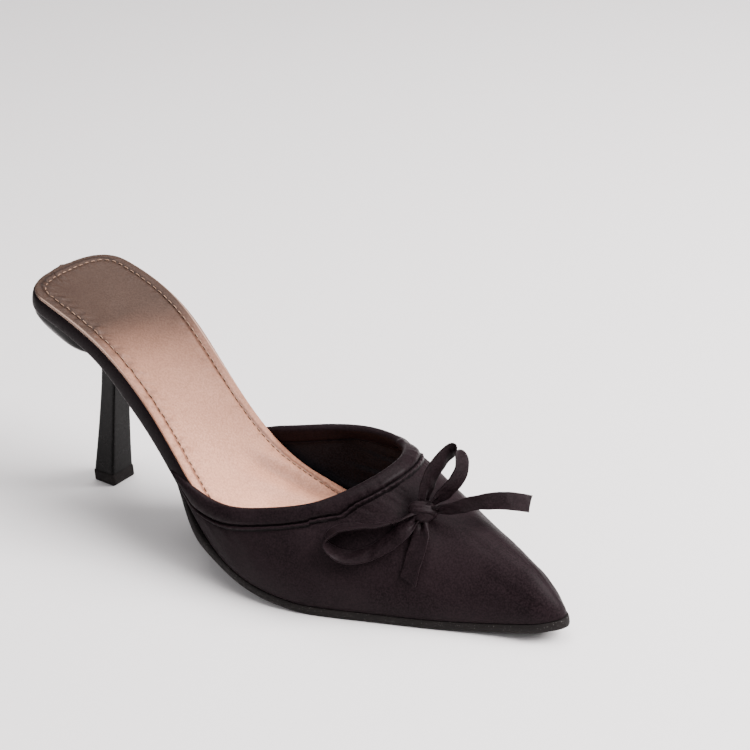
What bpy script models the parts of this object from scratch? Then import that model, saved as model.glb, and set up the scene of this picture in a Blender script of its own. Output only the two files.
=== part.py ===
"""A pointed satin mule on a slim square heel, with a bound topline and a ribbon bow; the right shoe.

Metres, +Z up. X runs from the heel towards the toe and Y towards the inner side of the foot.
The origin is the centre of the heel tip's tread on the floor.
"""
import math

import bmesh
import bpy
import numpy as np

# Driving sizes of the sole's plan
BOARD_LENGTH = 0.2375      # from the seat's back to the board's point, along X
SEAT_REACH = 0.0170        # how far the seat's back lies behind the heel tip's centre
SEAT_WIDTH = 0.0496
WAIST_WIDTH = 0.0460
BALL_WIDTH = 0.0680
POINT_SHIFT = 0.0060       # how far the toe's point lies to the inner side
SEAT_ROUND = 0.0150        # length of the seat's rounded back
NOSE_ROUND = 0.0065        # length of the toe's rounded point
SEAT_SQUARE = 2.7          # power of the round at the seat: 2 is an ellipse, more is squarer
NOSE_SQUARE = 2.0

# Driving sizes of the side view
SEAT_RISE = 0.0845         # climb of the board's underside from the tread to the seat's back
TOE_SPRING = 0.0050
SOLE_THICKNESS = 0.0035
SHANK_THICKNESS = 0.0020   # the outsole where it runs up under the waist
BOARD_SEAT = 0.0070        # the wrapped board at the seat, at the waist and under the toes
BOARD_WAIST = 0.0052
BOARD_FRONT = 0.0030
SEAT_DISH = 0.0012         # how far the middle of the seat lies under its rim
SOCK_THICKNESS = 0.0010
SOCK_INSET = 0.0009
GAP = 0.0003               # between pieces that touch

# Driving sizes of the upper
INSTEP = 0.0520            # height of the upper's sections over the board's underside
WALL = 0.0018
BINDING_WIDTH = 0.0056
BINDING_THICKNESS = 0.0008
BINDING_END = 0.008        # how far from the upper's rear tips the binding ends, as a share of the way round
BINDING_GAP = 0.0006       # between the binding and the curved faces that it lies on
SOLE_MARGIN = 0.0007       # how far the outsole stands out past the upper
UPPER_EASE = 0.0008        # room between the board and the upper at the forefoot
REAR_EASE = 0.0004         # and at the upper's rear tips
SHANK_INSET = 0.0030       # how far the outsole is drawn in under the waist

# Driving sizes of the heel
TIP_WIDTH = 0.0122         # across the shoe
TIP_DEPTH = 0.0114         # along the shoe
NECK_WIDTH = 0.0098
NECK_DEPTH = 0.0078
TIP_SWELL = 1.4            # power of the column's swelling towards its tip
HEEL_LEAN = 0.0085         # how far the column's top stands forward of its tip
NECK_HEIGHT = 0.0500       # height of the column's narrowest section
COLUMN_TOP = 0.0700        # where the column ends and the fillet to the cup starts
LIFT_HEIGHT = 0.0052
LIFT_STEP = 0.0003         # how far the lift stands out past the tip
CUP_FILLET = 0.0022        # radius between the column and the cup
CUP_LIP = 0.0016           # height of the cup's rim under the board
CUP_INSET = 0.0014
CUP_FRONT = 0.0150         # how far the cup reaches in front of the column's top
CORNER_ROUND = 0.0011

# Driving sizes of the bow
RIBBON_WIDTH = 0.0066
RIBBON_THICKNESS = 0.0006
BOW_STAND = 0.0210         # how high the standing loop rises over the vamp
KNOT_LENGTH = 0.0082
KNOT_WIDTH = 0.0084
KNOT_HEIGHT = 0.0054

# Plan of the board: share of the length, the width that the row follows, and how far its outer and inner
# edges lie from the middle line, as shares of half that width
PLAN = (
    (0.00, SEAT_WIDTH, 0.95, 0.93),
    (0.10, SEAT_WIDTH, 1.00, 1.00),
    (0.19, SEAT_WIDTH, 0.99, 0.97),
    (0.27, WAIST_WIDTH, 1.11, 0.89),
    (0.34, WAIST_WIDTH, 1.20, 0.84),
    (0.41, WAIST_WIDTH, 1.33, 0.97),
    (0.48, BALL_WIDTH, 0.99, 0.79),
    (0.55, BALL_WIDTH, 1.03, 0.90),
    (0.63, BALL_WIDTH, 0.95, 0.97),
    (0.72, BALL_WIDTH, 0.73, 0.94),
    (0.82, BALL_WIDTH, 0.48, 0.76),
    (0.91, BALL_WIDTH, 0.27, 0.47),
    (1.00, BALL_WIDTH, 0.11, 0.11),
)
# How much of the point's shift each share of the length takes
SHIFT = ((0.00, 0.0), (0.55, 0.0), (0.75, 0.18), (1.00, 1.0))
# Side view of the board's underside: share of the length and share of the seat's rise
CLIMB = (
    (0.00, 1.000),
    (0.08, 0.940),
    (0.16, 0.842),
    (0.24, 0.692),
    (0.31, 0.512),
    (0.37, 0.328),
    (0.43, 0.172),
    (0.50, 0.070),
    (0.57, 0.024),
    (0.64, 0.004),
    (0.72, 0.000),
)
TREAD_START = 0.655        # the flat part of the tread, as shares of the length
TREAD_END = 0.800
# The upper's sections: share of the length, height as a share of the instep, fullness of the outer and of
# the inner shoulder, and how far the ridge lies to the inner side as a share of the section's half width
SECTIONS = (
    (0.25, 0.92, 0.07, 1.75, 0.45),
    (0.45, 0.99, 0.11, 1.45, 0.37),
    (0.60, 0.88, 0.155, 1.14, 0.265),
    (0.69, 0.84, 0.205, 0.83, 0.17),
    (0.80, 0.60, 0.265, 0.59, 0.12),
    (0.90, 0.455, 0.32, 0.38, 0.105),
    (1.00, 0.225, 0.375, 0.20, 0.10),
)
# Heights of the seven points that draw a section, as shares of its own height; the top is flat there
SECTION_RISE = (0.0, 0.52, 1.155, 1.155, 1.155, 0.52, 0.0)
RIDGE_PULL = 0.6           # how much of the ridge's shift the shoulders take
SIDE_FLARE = 0.16          # how far the sides swell out over the sole, as a share of the half width
# The opening's edge: place around the section, from the outer sole edge to the inner, and share of the length
TOPLINE = (
    (0.00, 0.332),
    (0.11, 0.428),
    (0.22, 0.557),
    (0.33, 0.652),
    (0.42, 0.689),
    (0.50, 0.698),
    (0.58, 0.675),
    (0.67, 0.606),
    (0.78, 0.505),
    (0.89, 0.402),
    (1.00, 0.362),
)
# Where things change along the shoe, as shares of the length: from and to
DISH_STARTS = (0.0, 0.06)
DISH_FADES = (0.10, 0.45)
WAIST_THINS = (0.16, 0.38)
FRONT_THINS = (0.42, 0.62)
REAR_OPENS = (0.33, 0.50)
SOLE_WIDENS = (0.34, 0.44)

# Where the bow lies on the vamp: share of the length, place around the section and height over the vamp
# as a share of the bow's stand
KNOT_PLACE = (0.769, 0.374, 0.141)
# Each ribbon: its name, the headings of its width where it starts and where it ends, and the rows of its
# middle line, written like the knot's place
RIBBONS = (
    ("bow_loop_standing", (0.35, 0.72, -0.60), (0.35, 0.72, -0.60), (
        (0.7640, 0.394, 0.21),
        (0.7570, 0.428, 0.42),
        (0.7520, 0.473, 0.75),
        (0.7580, 0.527, 0.99),
        (0.7790, 0.511, 0.88),
        (0.7860, 0.465, 0.60),
        (0.7760, 0.415, 0.33),
    )),
    ("bow_loop_lying", (0.50, -0.65, 0.55), (0.40, -0.55, -0.70), (
        (0.7620, 0.340, 0.18),
        (0.7410, 0.282, 0.20),
        (0.7070, 0.238, 0.21),
        (0.6740, 0.210, 0.21),
        (0.6620, 0.180, 0.18),
        (0.6840, 0.156, 0.14),
        (0.7190, 0.168, 0.125),
        (0.7440, 0.216, 0.125),
        (0.7580, 0.270, 0.15),
        (0.7640, 0.330, 0.165),
    )),
    ("bow_tail_front", (0.30, -0.50, 0.80), (-0.35, 0.40, 0.75), (
        (0.7770, 0.395, 0.17),
        (0.8030, 0.426, 0.35),
        (0.8380, 0.480, 0.54),
        (0.8680, 0.548, 0.63),
        (0.8810, 0.683, 0.71),
    )),
    ("bow_tail_side", (0.95, 0.25, 0.0), (0.95, 0.25, 0.0), (
        (0.7770, 0.342, 0.095),
        (0.7860, 0.277, 0.090),
        (0.7890, 0.207, 0.065),
        (0.7910, 0.141, 0.060),
    )),
)

COLLECTION = "stiletto_mule"
CUTTERS = "cutters"


def spline(knots, values):
    """A natural cubic through a table's rows, as a function."""
    x = np.asarray(knots, float)
    y = np.asarray(values, float)
    step = np.diff(x)
    count = len(x)
    system = np.eye(count)
    right = np.zeros(count)
    for i in range(1, count - 1):
        system[i, i - 1:i + 2] = step[i - 1], 2 * (step[i - 1] + step[i]), step[i]
        right[i] = 6 * ((y[i + 1] - y[i]) / step[i] - (y[i] - y[i - 1]) / step[i - 1])
    bend = np.linalg.solve(system, right)

    def value(at):
        at = np.clip(np.asarray(at, float), x[0], x[-1])
        i = np.clip(np.searchsorted(x, at, side="right") - 1, 0, count - 2)
        a = (x[i + 1] - at) / step[i]
        b = 1 - a
        curve = ((a**3 - a) * bend[i] + (b**3 - b) * bend[i + 1]) * step[i]**2 / 6
        return a * y[i] + b * y[i + 1] + curve

    return value


def ease(at, start, end):
    """0 before start, 1 after end and smooth between them."""
    k = np.clip((np.asarray(at, float) - start) / (end - start), 0, 1)
    return k * k * (3 - 2 * k)


shares = [row[0] for row in PLAN]
outer_edge = spline(shares, [row[1] / 2 * row[2] for row in PLAN])
inner_edge = spline(shares, [row[1] / 2 * row[3] for row in PLAN])
point_shift = spline([row[0] for row in SHIFT], [row[1] * POINT_SHIFT for row in SHIFT])
climb = spline([row[0] for row in CLIMB], [row[1] for row in CLIMB])
section_height = spline([row[0] for row in SECTIONS], [row[1] * INSTEP for row in SECTIONS])
outer_shoulder = spline([row[0] for row in SECTIONS], [row[2] for row in SECTIONS])
inner_shoulder = spline([row[0] for row in SECTIONS], [row[3] for row in SECTIONS])
ridge_shift = spline([row[0] for row in SECTIONS], [row[4] for row in SECTIONS])
topline = spline([row[0] for row in TOPLINE], [row[1] for row in TOPLINE])

UPPER_GROW = WALL + UPPER_EASE
SOLE_GROW = UPPER_GROW + SOLE_MARGIN
SOLE_TOP = SOLE_THICKNESS + GAP


def round_end(distance, length, power):
    """1 away from an end, falling to 0 at it along a rounded curve."""
    k = 1 - np.clip(distance / length, 0, 1)
    return (1 - k**power)**(1 / power)


def cap(share, grow):
    """How the plan closes at the seat's back and at the toe's point."""
    share = np.asarray(share, float)
    back = share * BOARD_LENGTH + grow
    front = (1 - share) * BOARD_LENGTH + grow
    return (round_end(back, SEAT_ROUND + grow, SEAT_SQUARE)
            * round_end(front, NOSE_ROUND + grow, NOSE_SQUARE))


def edges(share, grow=0.0):
    """Y of the outer and the inner edge of the plan, grown on all sides."""
    low = -outer_edge(share) - grow
    high = inner_edge(share) + grow
    middle = (low + high) / 2 + point_shift(share)
    half = (high - low) / 2 * cap(share, grow)
    return middle - half, middle + half


def profile(share):
    """X and Z of the board's underside on the middle line."""
    share = np.asarray(share, float)
    rise = climb(share) * (1 - ease(share, TREAD_START - 0.06, TREAD_START))
    spring = np.clip((share - TREAD_END) / (1 - TREAD_END), 0, None)**2
    return share * BOARD_LENGTH - SEAT_REACH, SOLE_TOP + SEAT_RISE * rise + TOE_SPRING * spring


def point(share, across, height):
    """A point at a share of the length, a Y and a height square to the board's underside."""
    share = np.asarray(share, float)
    reach = 0.001
    x, z = profile(share)
    x0, z0 = profile(share - reach)
    x1, z1 = profile(share + reach)
    size = np.hypot(x1 - x0, z1 - z0)
    run, climbing = (x1 - x0) / size, (z1 - z0) / size
    return np.stack(np.broadcast_arrays(x - climbing * height, across, z + run * height), -1)


def board_height(share):
    waist = ease(share, *WAIST_THINS)
    front = ease(share, *FRONT_THINS)
    return BOARD_SEAT + (BOARD_WAIST - BOARD_SEAT) * waist + (BOARD_FRONT - BOARD_WAIST) * front


def dish(share, side):
    """How far the footbed lies under its rim; side runs from -1 to 1 across the board."""
    return SEAT_DISH * (1 - ease(share, *DISH_FADES)) * ease(share, *DISH_STARTS) * (1 - side**2)


def upper_grow(share):
    """How far the upper's outer face stands out past the board: less at its rear tips."""
    return UPPER_GROW - (UPPER_EASE - REAR_EASE) * (1 - ease(share, *REAR_OPENS))


def upper_section(share, around):
    """The upper's outer face: around runs from 0 at the outer sole edge over the top to 1 at the inner."""
    share = np.asarray(share, float)
    around = np.asarray(around, float)
    low, high = edges(share, upper_grow(share))
    middle = (low + high) / 2
    half = (high - low) / 2
    ridge = ridge_shift(share) * half
    places = (-half, -half * (1 + SIDE_FLARE), RIDGE_PULL * ridge - half * outer_shoulder(share), ridge,
              RIDGE_PULL * ridge + half * inner_shoulder(share), half * (1 + SIDE_FLARE), half)
    weights = [math.comb(6, i) * around**i * (1 - around)**(6 - i) for i in range(7)]
    across = sum(weight * place for weight, place in zip(weights, places))
    rise = sum(weight * place for weight, place in zip(weights, SECTION_RISE))
    tall = section_height(share) * round_end((1 - share) * BOARD_LENGTH + UPPER_GROW, 2 * NOSE_ROUND, 2.0)
    return point(share, middle + across, tall * rise)


def slopes(share, around):
    """The upper's two directions and its outward normal at one place."""
    step = 0.0005
    along = (upper_section(share + step, around) - upper_section(share - step, around)) / (2 * step)
    across = (upper_section(share, around + step) - upper_section(share, around - step)) / (2 * step)
    normal = np.cross(along, across)
    return along, across, normal / np.linalg.norm(normal)


def walk(share, around, heading, distance, steps=6):
    """Goes a distance over the upper's face in a heading, and returns the place reached."""
    for _ in range(steps):
        along, across, normal = slopes(share, around)
        flat = heading - normal * float(np.dot(heading, normal))
        flat = flat / np.linalg.norm(flat) * distance / steps
        turn = np.linalg.lstsq(np.stack([along, across], 1), flat, rcond=None)[0]
        share, around = share + turn[0], around + turn[1]
    return share, around


def material(name, colour, roughness, metallic=0.0):
    made = bpy.data.materials.new(name)
    made.use_nodes = True
    shader = made.node_tree.nodes["Principled BSDF"]
    shader.inputs["Base Color"].default_value = (*colour, 1.0)
    shader.inputs["Roughness"].default_value = roughness
    shader.inputs["Metallic"].default_value = metallic
    made.diffuse_color = (*colour, 1.0)
    return made


def add_object(name, bm, colour, roughness, collection=COLLECTION):
    """Closes up the mesh, turns its faces outwards and adds it as a named object."""
    bmesh.ops.remove_doubles(bm, verts=bm.verts, dist=0.00002)
    bmesh.ops.dissolve_degenerate(bm, edges=bm.edges, dist=0.00001)
    bmesh.ops.recalc_face_normals(bm, faces=bm.faces)
    mesh = bpy.data.meshes.new(name)
    bm.to_mesh(mesh)
    bm.free()
    mesh.shade_smooth()
    mesh.set_sharp_from_angle(angle=math.radians(40))
    made = bpy.data.objects.new(name, mesh)
    made.data.materials.append(material(name, colour, roughness))
    bpy.data.collections[collection].objects.link(made)
    return made


def skin(bm, rows, wrap=True):
    """Faces between neighbouring rows of points, each row a closed ring when wrap is set."""
    made = [[bm.verts.new(tuple(float(c) for c in place)) for place in row] for row in rows]
    for first, second in zip(made, made[1:]):
        count = len(first)
        for i in range(count if wrap else count - 1):
            j = (i + 1) % count
            bm.faces.new((first[i], first[j], second[j], second[i]))
    return made


def spaced(start, end, count, crowd_start=True, crowd_end=True):
    """Shares from start to end, closer together at the ends that are crowded."""
    k = np.linspace(0, 1, count)
    if crowd_start and crowd_end:
        k = (1 - np.cos(np.pi * k)) / 2
    elif crowd_end:
        k = np.sin(np.pi / 2 * k)
    elif crowd_start:
        k = 1 - np.cos(np.pi / 2 * k)
    return start + (end - start) * k


def slab_ring(share, low, high, bottom, top, rounding, across=8, dished=None):
    """One closed section of a slab: flat below, dished above and rounded at its two sides."""
    inset = min(rounding, (high - low) / 2)
    ring = []
    thick = top - bottom
    for k in np.linspace(0, 1, across):
        ring.append(point(share, low + inset + (high - low - 2 * inset) * k, bottom))
    for angle in (-45, 0, 45):
        swing = math.radians(angle)
        ring.append(point(share, high - inset * (1 - math.cos(swing)), bottom + thick * (1 + math.sin(swing)) / 2))
    for k in np.linspace(1, 0, across):
        sink = dished(share, 2 * k - 1) if dished else 0.0
        ring.append(point(share, low + inset + (high - low - 2 * inset) * k, top - sink))
    for angle in (135, 180, 225):
        swing = math.radians(angle)
        ring.append(point(share, low + inset * (1 + math.cos(swing)), bottom + thick * (1 + math.sin(swing)) / 2))
    return ring


def insole_board():
    """The board under the foot, wrapped in satin, from the seat's back to the point."""
    bm = bmesh.new()
    rings = []
    for share in spaced(0, 1, 38):
        low, high = edges(share)
        rings.append(slab_ring(share, low, high, 0.0, board_height(share), BOARD_FRONT / 3, dished=dish))
    skin(bm, rings)
    add_object("insole_board", bm, (0.035, 0.03, 0.032), 0.5)


def sock():
    """The satin sock on the board."""
    bm = bmesh.new()
    rings = []
    start = SOCK_INSET / BOARD_LENGTH
    for share in spaced(start, 1 - start, 30):
        low, high = edges(share, -SOCK_INSET)
        base = board_height(share) + GAP
        ring = slab_ring(share, low, high, base, base + SOCK_THICKNESS, SOCK_THICKNESS / 2, dished=dish)
        for i, k in enumerate(np.linspace(-1, 1, 8)):
            ring[i] = point(share, ring[i][1], base - dish(share, k))
        rings.append(ring)
    skin(bm, rings)
    add_object("sock", bm, (0.62, 0.46, 0.37), 0.45)


def outsole():
    """The outsole: full under the forefoot, thin and drawn in under the waist."""
    bm = bmesh.new()
    start = (SEAT_REACH + HEEL_LEAN + CUP_FRONT + GAP) / BOARD_LENGTH
    front = spaced(TREAD_START, 1 + SOLE_GROW / BOARD_LENGTH, 20, crowd_start=False)
    rings = []
    for share in np.concatenate([np.linspace(start, TREAD_START, 17)[:-1], front]):
        wide = ease(share, *SOLE_WIDENS)
        drawn = (SOLE_GROW + SHANK_INSET) * (1 - wide)
        low, high = edges(share, SOLE_GROW)
        thick = SHANK_THICKNESS + (SOLE_THICKNESS - SHANK_THICKNESS) * wide
        rings.append(slab_ring(share, low + drawn, high - drawn, -GAP - thick, -GAP, SOLE_THICKNESS / 5))
    made = skin(bm, rings)
    bm.faces.new(made[0])
    add_object("outsole", bm, (0.03, 0.029, 0.028), 0.7)


def upper():
    """The upper: a thin shell, open at the topline and underneath."""
    bm = bmesh.new()
    columns = 43
    rows = []
    end = 1 + UPPER_GROW / BOARD_LENGTH
    for down in spaced(0, 1, 25, crowd_start=False):
        row = []
        for around in np.linspace(0, 1, columns):
            start = topline(around)
            row.append(upper_section(start + (end - start) * down, around))
        rows.append(row)
    skin(bm, rows, wrap=False)
    shell = add_object("upper", bm, (0.035, 0.03, 0.032), 0.5)
    wall = shell.modifiers.new("wall", 'SOLIDIFY')
    wall.thickness = WALL
    wall.offset = -1.0
    wall.use_rim = True


def topline_binding():
    """The bound edge: a folded strip over the upper's rim, its leg lying on the outer face."""
    bm = bmesh.new()
    rings = []
    end = BINDING_END
    reach = 0.001
    for around in np.linspace(end, 1 - end, 60):
        share = float(topline(around))
        first = upper_section(topline(around - reach), around - reach)
        second = upper_section(topline(around + reach), around + reach)
        tangent = (second - first) / np.linalg.norm(second - first)
        along, across, normal = slopes(share, around)
        inward = np.cross(tangent, normal)
        if np.dot(inward, along) < 0:
            inward = -inward
        low, high = BINDING_GAP, BINDING_GAP + BINDING_THICKNESS
        leg = []
        for k in (0.001, 0.25, 0.5, 0.75, 1.0):
            place = walk(share, around, inward, k * BINDING_WIDTH)
            clamped = min(max(place[1], reach), 1 - reach)
            leg.append((upper_section(place[0], clamped), slopes(place[0], clamped)[2]))
        rim = upper_section(share, around)
        ring = [foot + out * low for foot, out in leg[::-1]]
        ring += [rim - inward * low + normal * low * 0.2, rim - inward * low - normal * WALL]
        ring += [rim - inward * high - normal * WALL, rim - inward * high * 0.9 + normal * low]
        ring += [foot + out * high for foot, out in leg]
        rings.append(ring)
    made = skin(bm, rings)
    bm.faces.new(made[0])
    bm.faces.new(made[-1])
    add_object("topline_binding", bm, (0.03, 0.026, 0.028), 0.45)


def heel_ring(width, depth, height, centre=0.0, corner=CORNER_ROUND):
    """A rounded oblong around the heel's axis at one height, with points along its flats as well."""
    ring = []
    for quarter in range(4):
        sx = 1 if quarter in (0, 3) else -1
        sy = 1 if quarter in (0, 1) else -1
        for k in range(4):
            angle = math.radians(90 * quarter + 30 * k)
            x = sx * (depth / 2 - corner) + corner * math.cos(angle)
            y = sy * (width / 2 - corner) + corner * math.sin(angle)
            ring.append(np.array((centre + x, y, height)))
        far = (depth if quarter % 2 == 0 else width) / 2 - corner
        for k in (0.6, 0.2, -0.2, -0.6):
            if quarter % 2 == 0:
                ring.append(np.array((centre + sx * far * k, sy * width / 2, height)))
            else:
                ring.append(np.array((centre + sx * depth / 2, sy * far * k, height)))
    return ring


def seat_place(angle, inset):
    """Where a ray from the column's top meets the cup's plan, on the board's underside."""
    front = HEEL_LEAN + CUP_FRONT
    dx, dy = math.cos(angle), math.sin(angle)
    near, far = 0.0, 0.06
    for _ in range(40):
        middle = (near + far) / 2
        x, y = HEEL_LEAN + dx * middle, dy * middle
        share = (x + SEAT_REACH) / BOARD_LENGTH
        low, high = edges(share, -inset)
        inside = x < front and share > inset / BOARD_LENGTH and low < y < high
        near, far = (middle, far) if inside else (near, middle)
    return HEEL_LEAN + dx * near, dy * near


def lean(height):
    return HEEL_LEAN * (height - LIFT_HEIGHT) / (COLUMN_TOP - LIFT_HEIGHT)


def heel():
    """The heel: a slim square column that spreads into a cup under the seat."""
    bm = bmesh.new()
    base = LIFT_HEIGHT + GAP
    rings = []
    for k in np.linspace(0, 1, 7):
        height = base + (NECK_HEIGHT - base) * k
        swell = (1 - k)**TIP_SWELL
        width = NECK_WIDTH + (TIP_WIDTH - NECK_WIDTH) * swell
        depth = NECK_DEPTH + (TIP_DEPTH - NECK_DEPTH) * swell
        rings.append(heel_ring(width, depth, height, lean(height)))
    top = heel_ring(NECK_WIDTH, NECK_DEPTH, COLUMN_TOP, lean(COLUMN_TOP))
    rings.append(top)
    spread = []
    for start in top:
        angle = math.atan2(start[1], start[0] - HEEL_LEAN)
        out = np.array((math.cos(angle), math.sin(angle), 0.0))
        x, y = seat_place(angle, CUP_INSET)
        share = (x + SEAT_REACH) / BOARD_LENGTH
        rim = point(share, y, -GAP)
        lip = point(share, y, -GAP - CUP_LIP)
        root = start + out * CUP_FILLET + np.array((0, 0, CUP_FILLET))
        climbing = np.array((0, 0, lip[2] - root[2]))
        across = lip - root - climbing
        spread.append((start, root, root + across * 0.5 + climbing * 0.12,
                       root + across * 0.9 + climbing * 0.5, lip, rim, share, out))
    for k in (0.35, 0.7):
        swing = math.pi / 2 * k
        rings.append([row[0] + row[7] * CUP_FILLET * (1 - math.cos(swing))
                      + np.array((0, 0, CUP_FILLET * math.sin(swing))) for row in spread])
    for k in np.linspace(0, 1, 9):
        rings.append([(1 - k)**3 * row[1] + 3 * k * (1 - k)**2 * row[2] + 3 * k * k * (1 - k) * row[3]
                      + k**3 * row[4] for row in spread])
    rings.append([row[5] for row in spread])
    centre_share = (SEAT_REACH + HEEL_LEAN) / BOARD_LENGTH
    for k in (0.75, 0.5, 0.25):
        ring = []
        for row in spread:
            share = centre_share + (row[6] - centre_share) * k
            ring.append(point(share, row[5][1] * k, -GAP))
        rings.append(ring)
    made = skin(bm, rings)
    bm.faces.new(made[0])
    bm.faces.new(made[-1])
    add_object("heel", bm, (0.012, 0.012, 0.012), 0.2)


def top_lift():
    """The rubber lift under the heel's tip, with its tread on the floor."""
    bm = bmesh.new()
    width, depth = TIP_WIDTH + 2 * LIFT_STEP, TIP_DEPTH + 2 * LIFT_STEP
    made = skin(bm, [heel_ring(width, depth, 0.0), heel_ring(width, depth, LIFT_HEIGHT)])
    bm.faces.new(made[0])
    bm.faces.new(made[-1])
    add_object("top_lift", bm, (0.03, 0.029, 0.028), 0.6)


def bow_point(share, around, lift):
    """A point over the vamp, its height given as a share of the bow's stand."""
    return upper_section(share, around) + slopes(share, around)[2] * lift * BOW_STAND


def knot_ball(name, margin, collection):
    """The knot's rounded form, grown by a margin."""
    share, around, lift = KNOT_PLACE
    along, _, normal = slopes(share, around)
    along = along / np.linalg.norm(along)
    side = np.cross(normal, along)
    centre = bow_point(share, around, lift)
    bm = bmesh.new()
    bmesh.ops.create_uvsphere(bm, u_segments=16, v_segments=10, radius=1.0)
    half = np.array((KNOT_LENGTH, KNOT_WIDTH, KNOT_HEIGHT)) / 2 + margin
    for vert in bm.verts:
        x, y, z = np.array(vert.co) * half
        vert.co = centre + along * x + side * y + normal * z
    return add_object(name, bm, (0.035, 0.03, 0.032), 0.5, collection)


def ribbon(name, start_width, end_width, rows, cutter):
    """A flat ribbon along its middle line, cut off clear of the knot."""
    places = np.array([bow_point(*row) for row in rows])
    run = np.concatenate([[0.0], np.cumsum(np.linalg.norm(np.diff(places, axis=0), axis=1))])
    lines = [spline(run, places[:, axis]) for axis in range(3)]
    at = np.linspace(0, run[-1], 1 + 6 * (len(rows) - 1))
    path = np.stack([line(at) for line in lines], 1)
    heading = np.gradient(path, axis=0)
    rings = []
    for k, place, ahead in zip(np.linspace(0, 1, len(at)), path, heading):
        ahead = ahead / np.linalg.norm(ahead)
        wide = (1 - k) * np.array(start_width) + k * np.array(end_width)
        wide = wide - ahead * np.dot(wide, ahead)
        wide = wide / np.linalg.norm(wide) * RIBBON_WIDTH / 2
        thick = np.cross(wide, ahead)
        thick = thick / np.linalg.norm(thick) * RIBBON_THICKNESS / 2
        rings.append([place + wide * w + thick * t for w, t in ((-1, -1), (0, -1), (1, -1), (1, 1), (0, 1), (-1, 1))])
    bm = bmesh.new()
    made = skin(bm, rings)
    bm.faces.new(made[0])
    bm.faces.new(made[-1])
    strip = add_object(name, bm, (0.035, 0.03, 0.032), 0.45)
    cut = strip.modifiers.new("clear_of_knot", 'BOOLEAN')
    cut.operation = 'DIFFERENCE'
    cut.object = cutter


def bow():
    """The ribbon bow: a knot, two loops and two tails."""
    knot_ball("bow_knot", 0.0, COLLECTION)
    cutter = knot_ball("knot_clearance", GAP, CUTTERS)
    cutter.hide_render = True
    cutter.display_type = 'WIRE'
    for name, start_width, end_width, rows in RIBBONS:
        ribbon(name, start_width, end_width, rows, cutter)


def main():
    for old in list(bpy.data.objects):
        bpy.data.objects.remove(old, do_unlink=True)
    for name in (COLLECTION, CUTTERS):
        collection = bpy.data.collections.new(name)
        bpy.context.scene.collection.children.link(collection)
    top_lift()
    heel()
    outsole()
    insole_board()
    sock()
    upper()
    topline_binding()
    bow()


main()
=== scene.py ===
"""A satin mule on a slim heel with a ribbon bow: the finished look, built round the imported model.

Metres, +Z up. X runs from the heel to the toe and Y to the inner side of the foot.
"""
import math

import bpy
import numpy as np
from mathutils import Matrix, Vector


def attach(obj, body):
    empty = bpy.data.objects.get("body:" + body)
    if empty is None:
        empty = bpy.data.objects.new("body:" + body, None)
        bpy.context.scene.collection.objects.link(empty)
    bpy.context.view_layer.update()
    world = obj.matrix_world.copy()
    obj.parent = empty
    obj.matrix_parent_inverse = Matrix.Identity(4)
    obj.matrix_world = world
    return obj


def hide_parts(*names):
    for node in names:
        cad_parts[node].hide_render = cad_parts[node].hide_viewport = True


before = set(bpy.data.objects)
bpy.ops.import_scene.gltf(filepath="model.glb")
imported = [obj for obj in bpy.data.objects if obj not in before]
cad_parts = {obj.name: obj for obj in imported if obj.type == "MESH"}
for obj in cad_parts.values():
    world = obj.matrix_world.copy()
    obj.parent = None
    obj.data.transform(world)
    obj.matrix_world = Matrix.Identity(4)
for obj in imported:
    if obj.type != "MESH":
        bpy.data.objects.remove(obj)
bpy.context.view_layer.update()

bl_info = {
    "name": "Satin mule",
    "version": (1, 0, 0),
    "blender": (4, 5, 0),
    "location": "View3D > Sidebar > Mule",
    "description": "Builds a pointed satin mule with a bound edge, a stitched sock and a ribbon bow",
    "category": "Add Mesh",
}

# The shoe's own sizes, as in the CAD source
BOARD_LENGTH, SEAT_REACH = 0.2375, 0.0170
SEAT_WIDTH, WAIST_WIDTH, BALL_WIDTH = 0.0496, 0.0460, 0.0680
POINT_SHIFT, SEAT_ROUND, NOSE_ROUND = 0.0060, 0.0150, 0.0065
SEAT_SQUARE, NOSE_SQUARE = 2.7, 2.0
SEAT_RISE, TOE_SPRING = 0.0845, 0.0050
SOLE_THICKNESS, SHANK_THICKNESS = 0.0035, 0.0020
BOARD_SEAT, BOARD_WAIST, BOARD_FRONT = 0.0070, 0.0052, 0.0030
SEAT_DISH, SOCK_TOP, SOCK_INSET, GAP = 0.0012, 0.0013, 0.0009, 0.0003
INSTEP, WALL = 0.0520, 0.0018
UPPER_EASE, TIP_HUGS, SOLE_MARGIN, SHANK_INSET = 0.0008, 0.0023, 0.0007, 0.0030
SHANK_DROP, SHANK_BEGINS, SHANK_NARROWS, CUP_ROUNDS = 0.0021, 0.07, 0.0060, 0.0090
TIP_WIDTH, TIP_DEPTH, NECK_WIDTH, NECK_DEPTH = 0.0122, 0.0114, 0.0098, 0.0078
TIP_SWELL, HEEL_LEAN, NECK_HEIGHT, COLUMN_TOP = 1.4, 0.0112, 0.0500, 0.0630
LIFT_HEIGHT, LIFT_STEP, CUP_FILLET, CUP_LIP = 0.0052, 0.0003, 0.0045, 0.0016
CUP_INSET, CUP_FRONT, CUP_SQUARE, CORNER_ROUND = 0.0012, 0.0165, 2.4, 0.0011
RIBBON_WIDTH, BOW_STAND, GATHER_REACH, END_SLANT = 0.0066, 0.0210, 0.0085, 0.0012
KNOT_LENGTH, KNOT_WIDTH, KNOT_HEIGHT, KNOT_PUFF = 0.0082, 0.0084, 0.0054, 1.28

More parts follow.
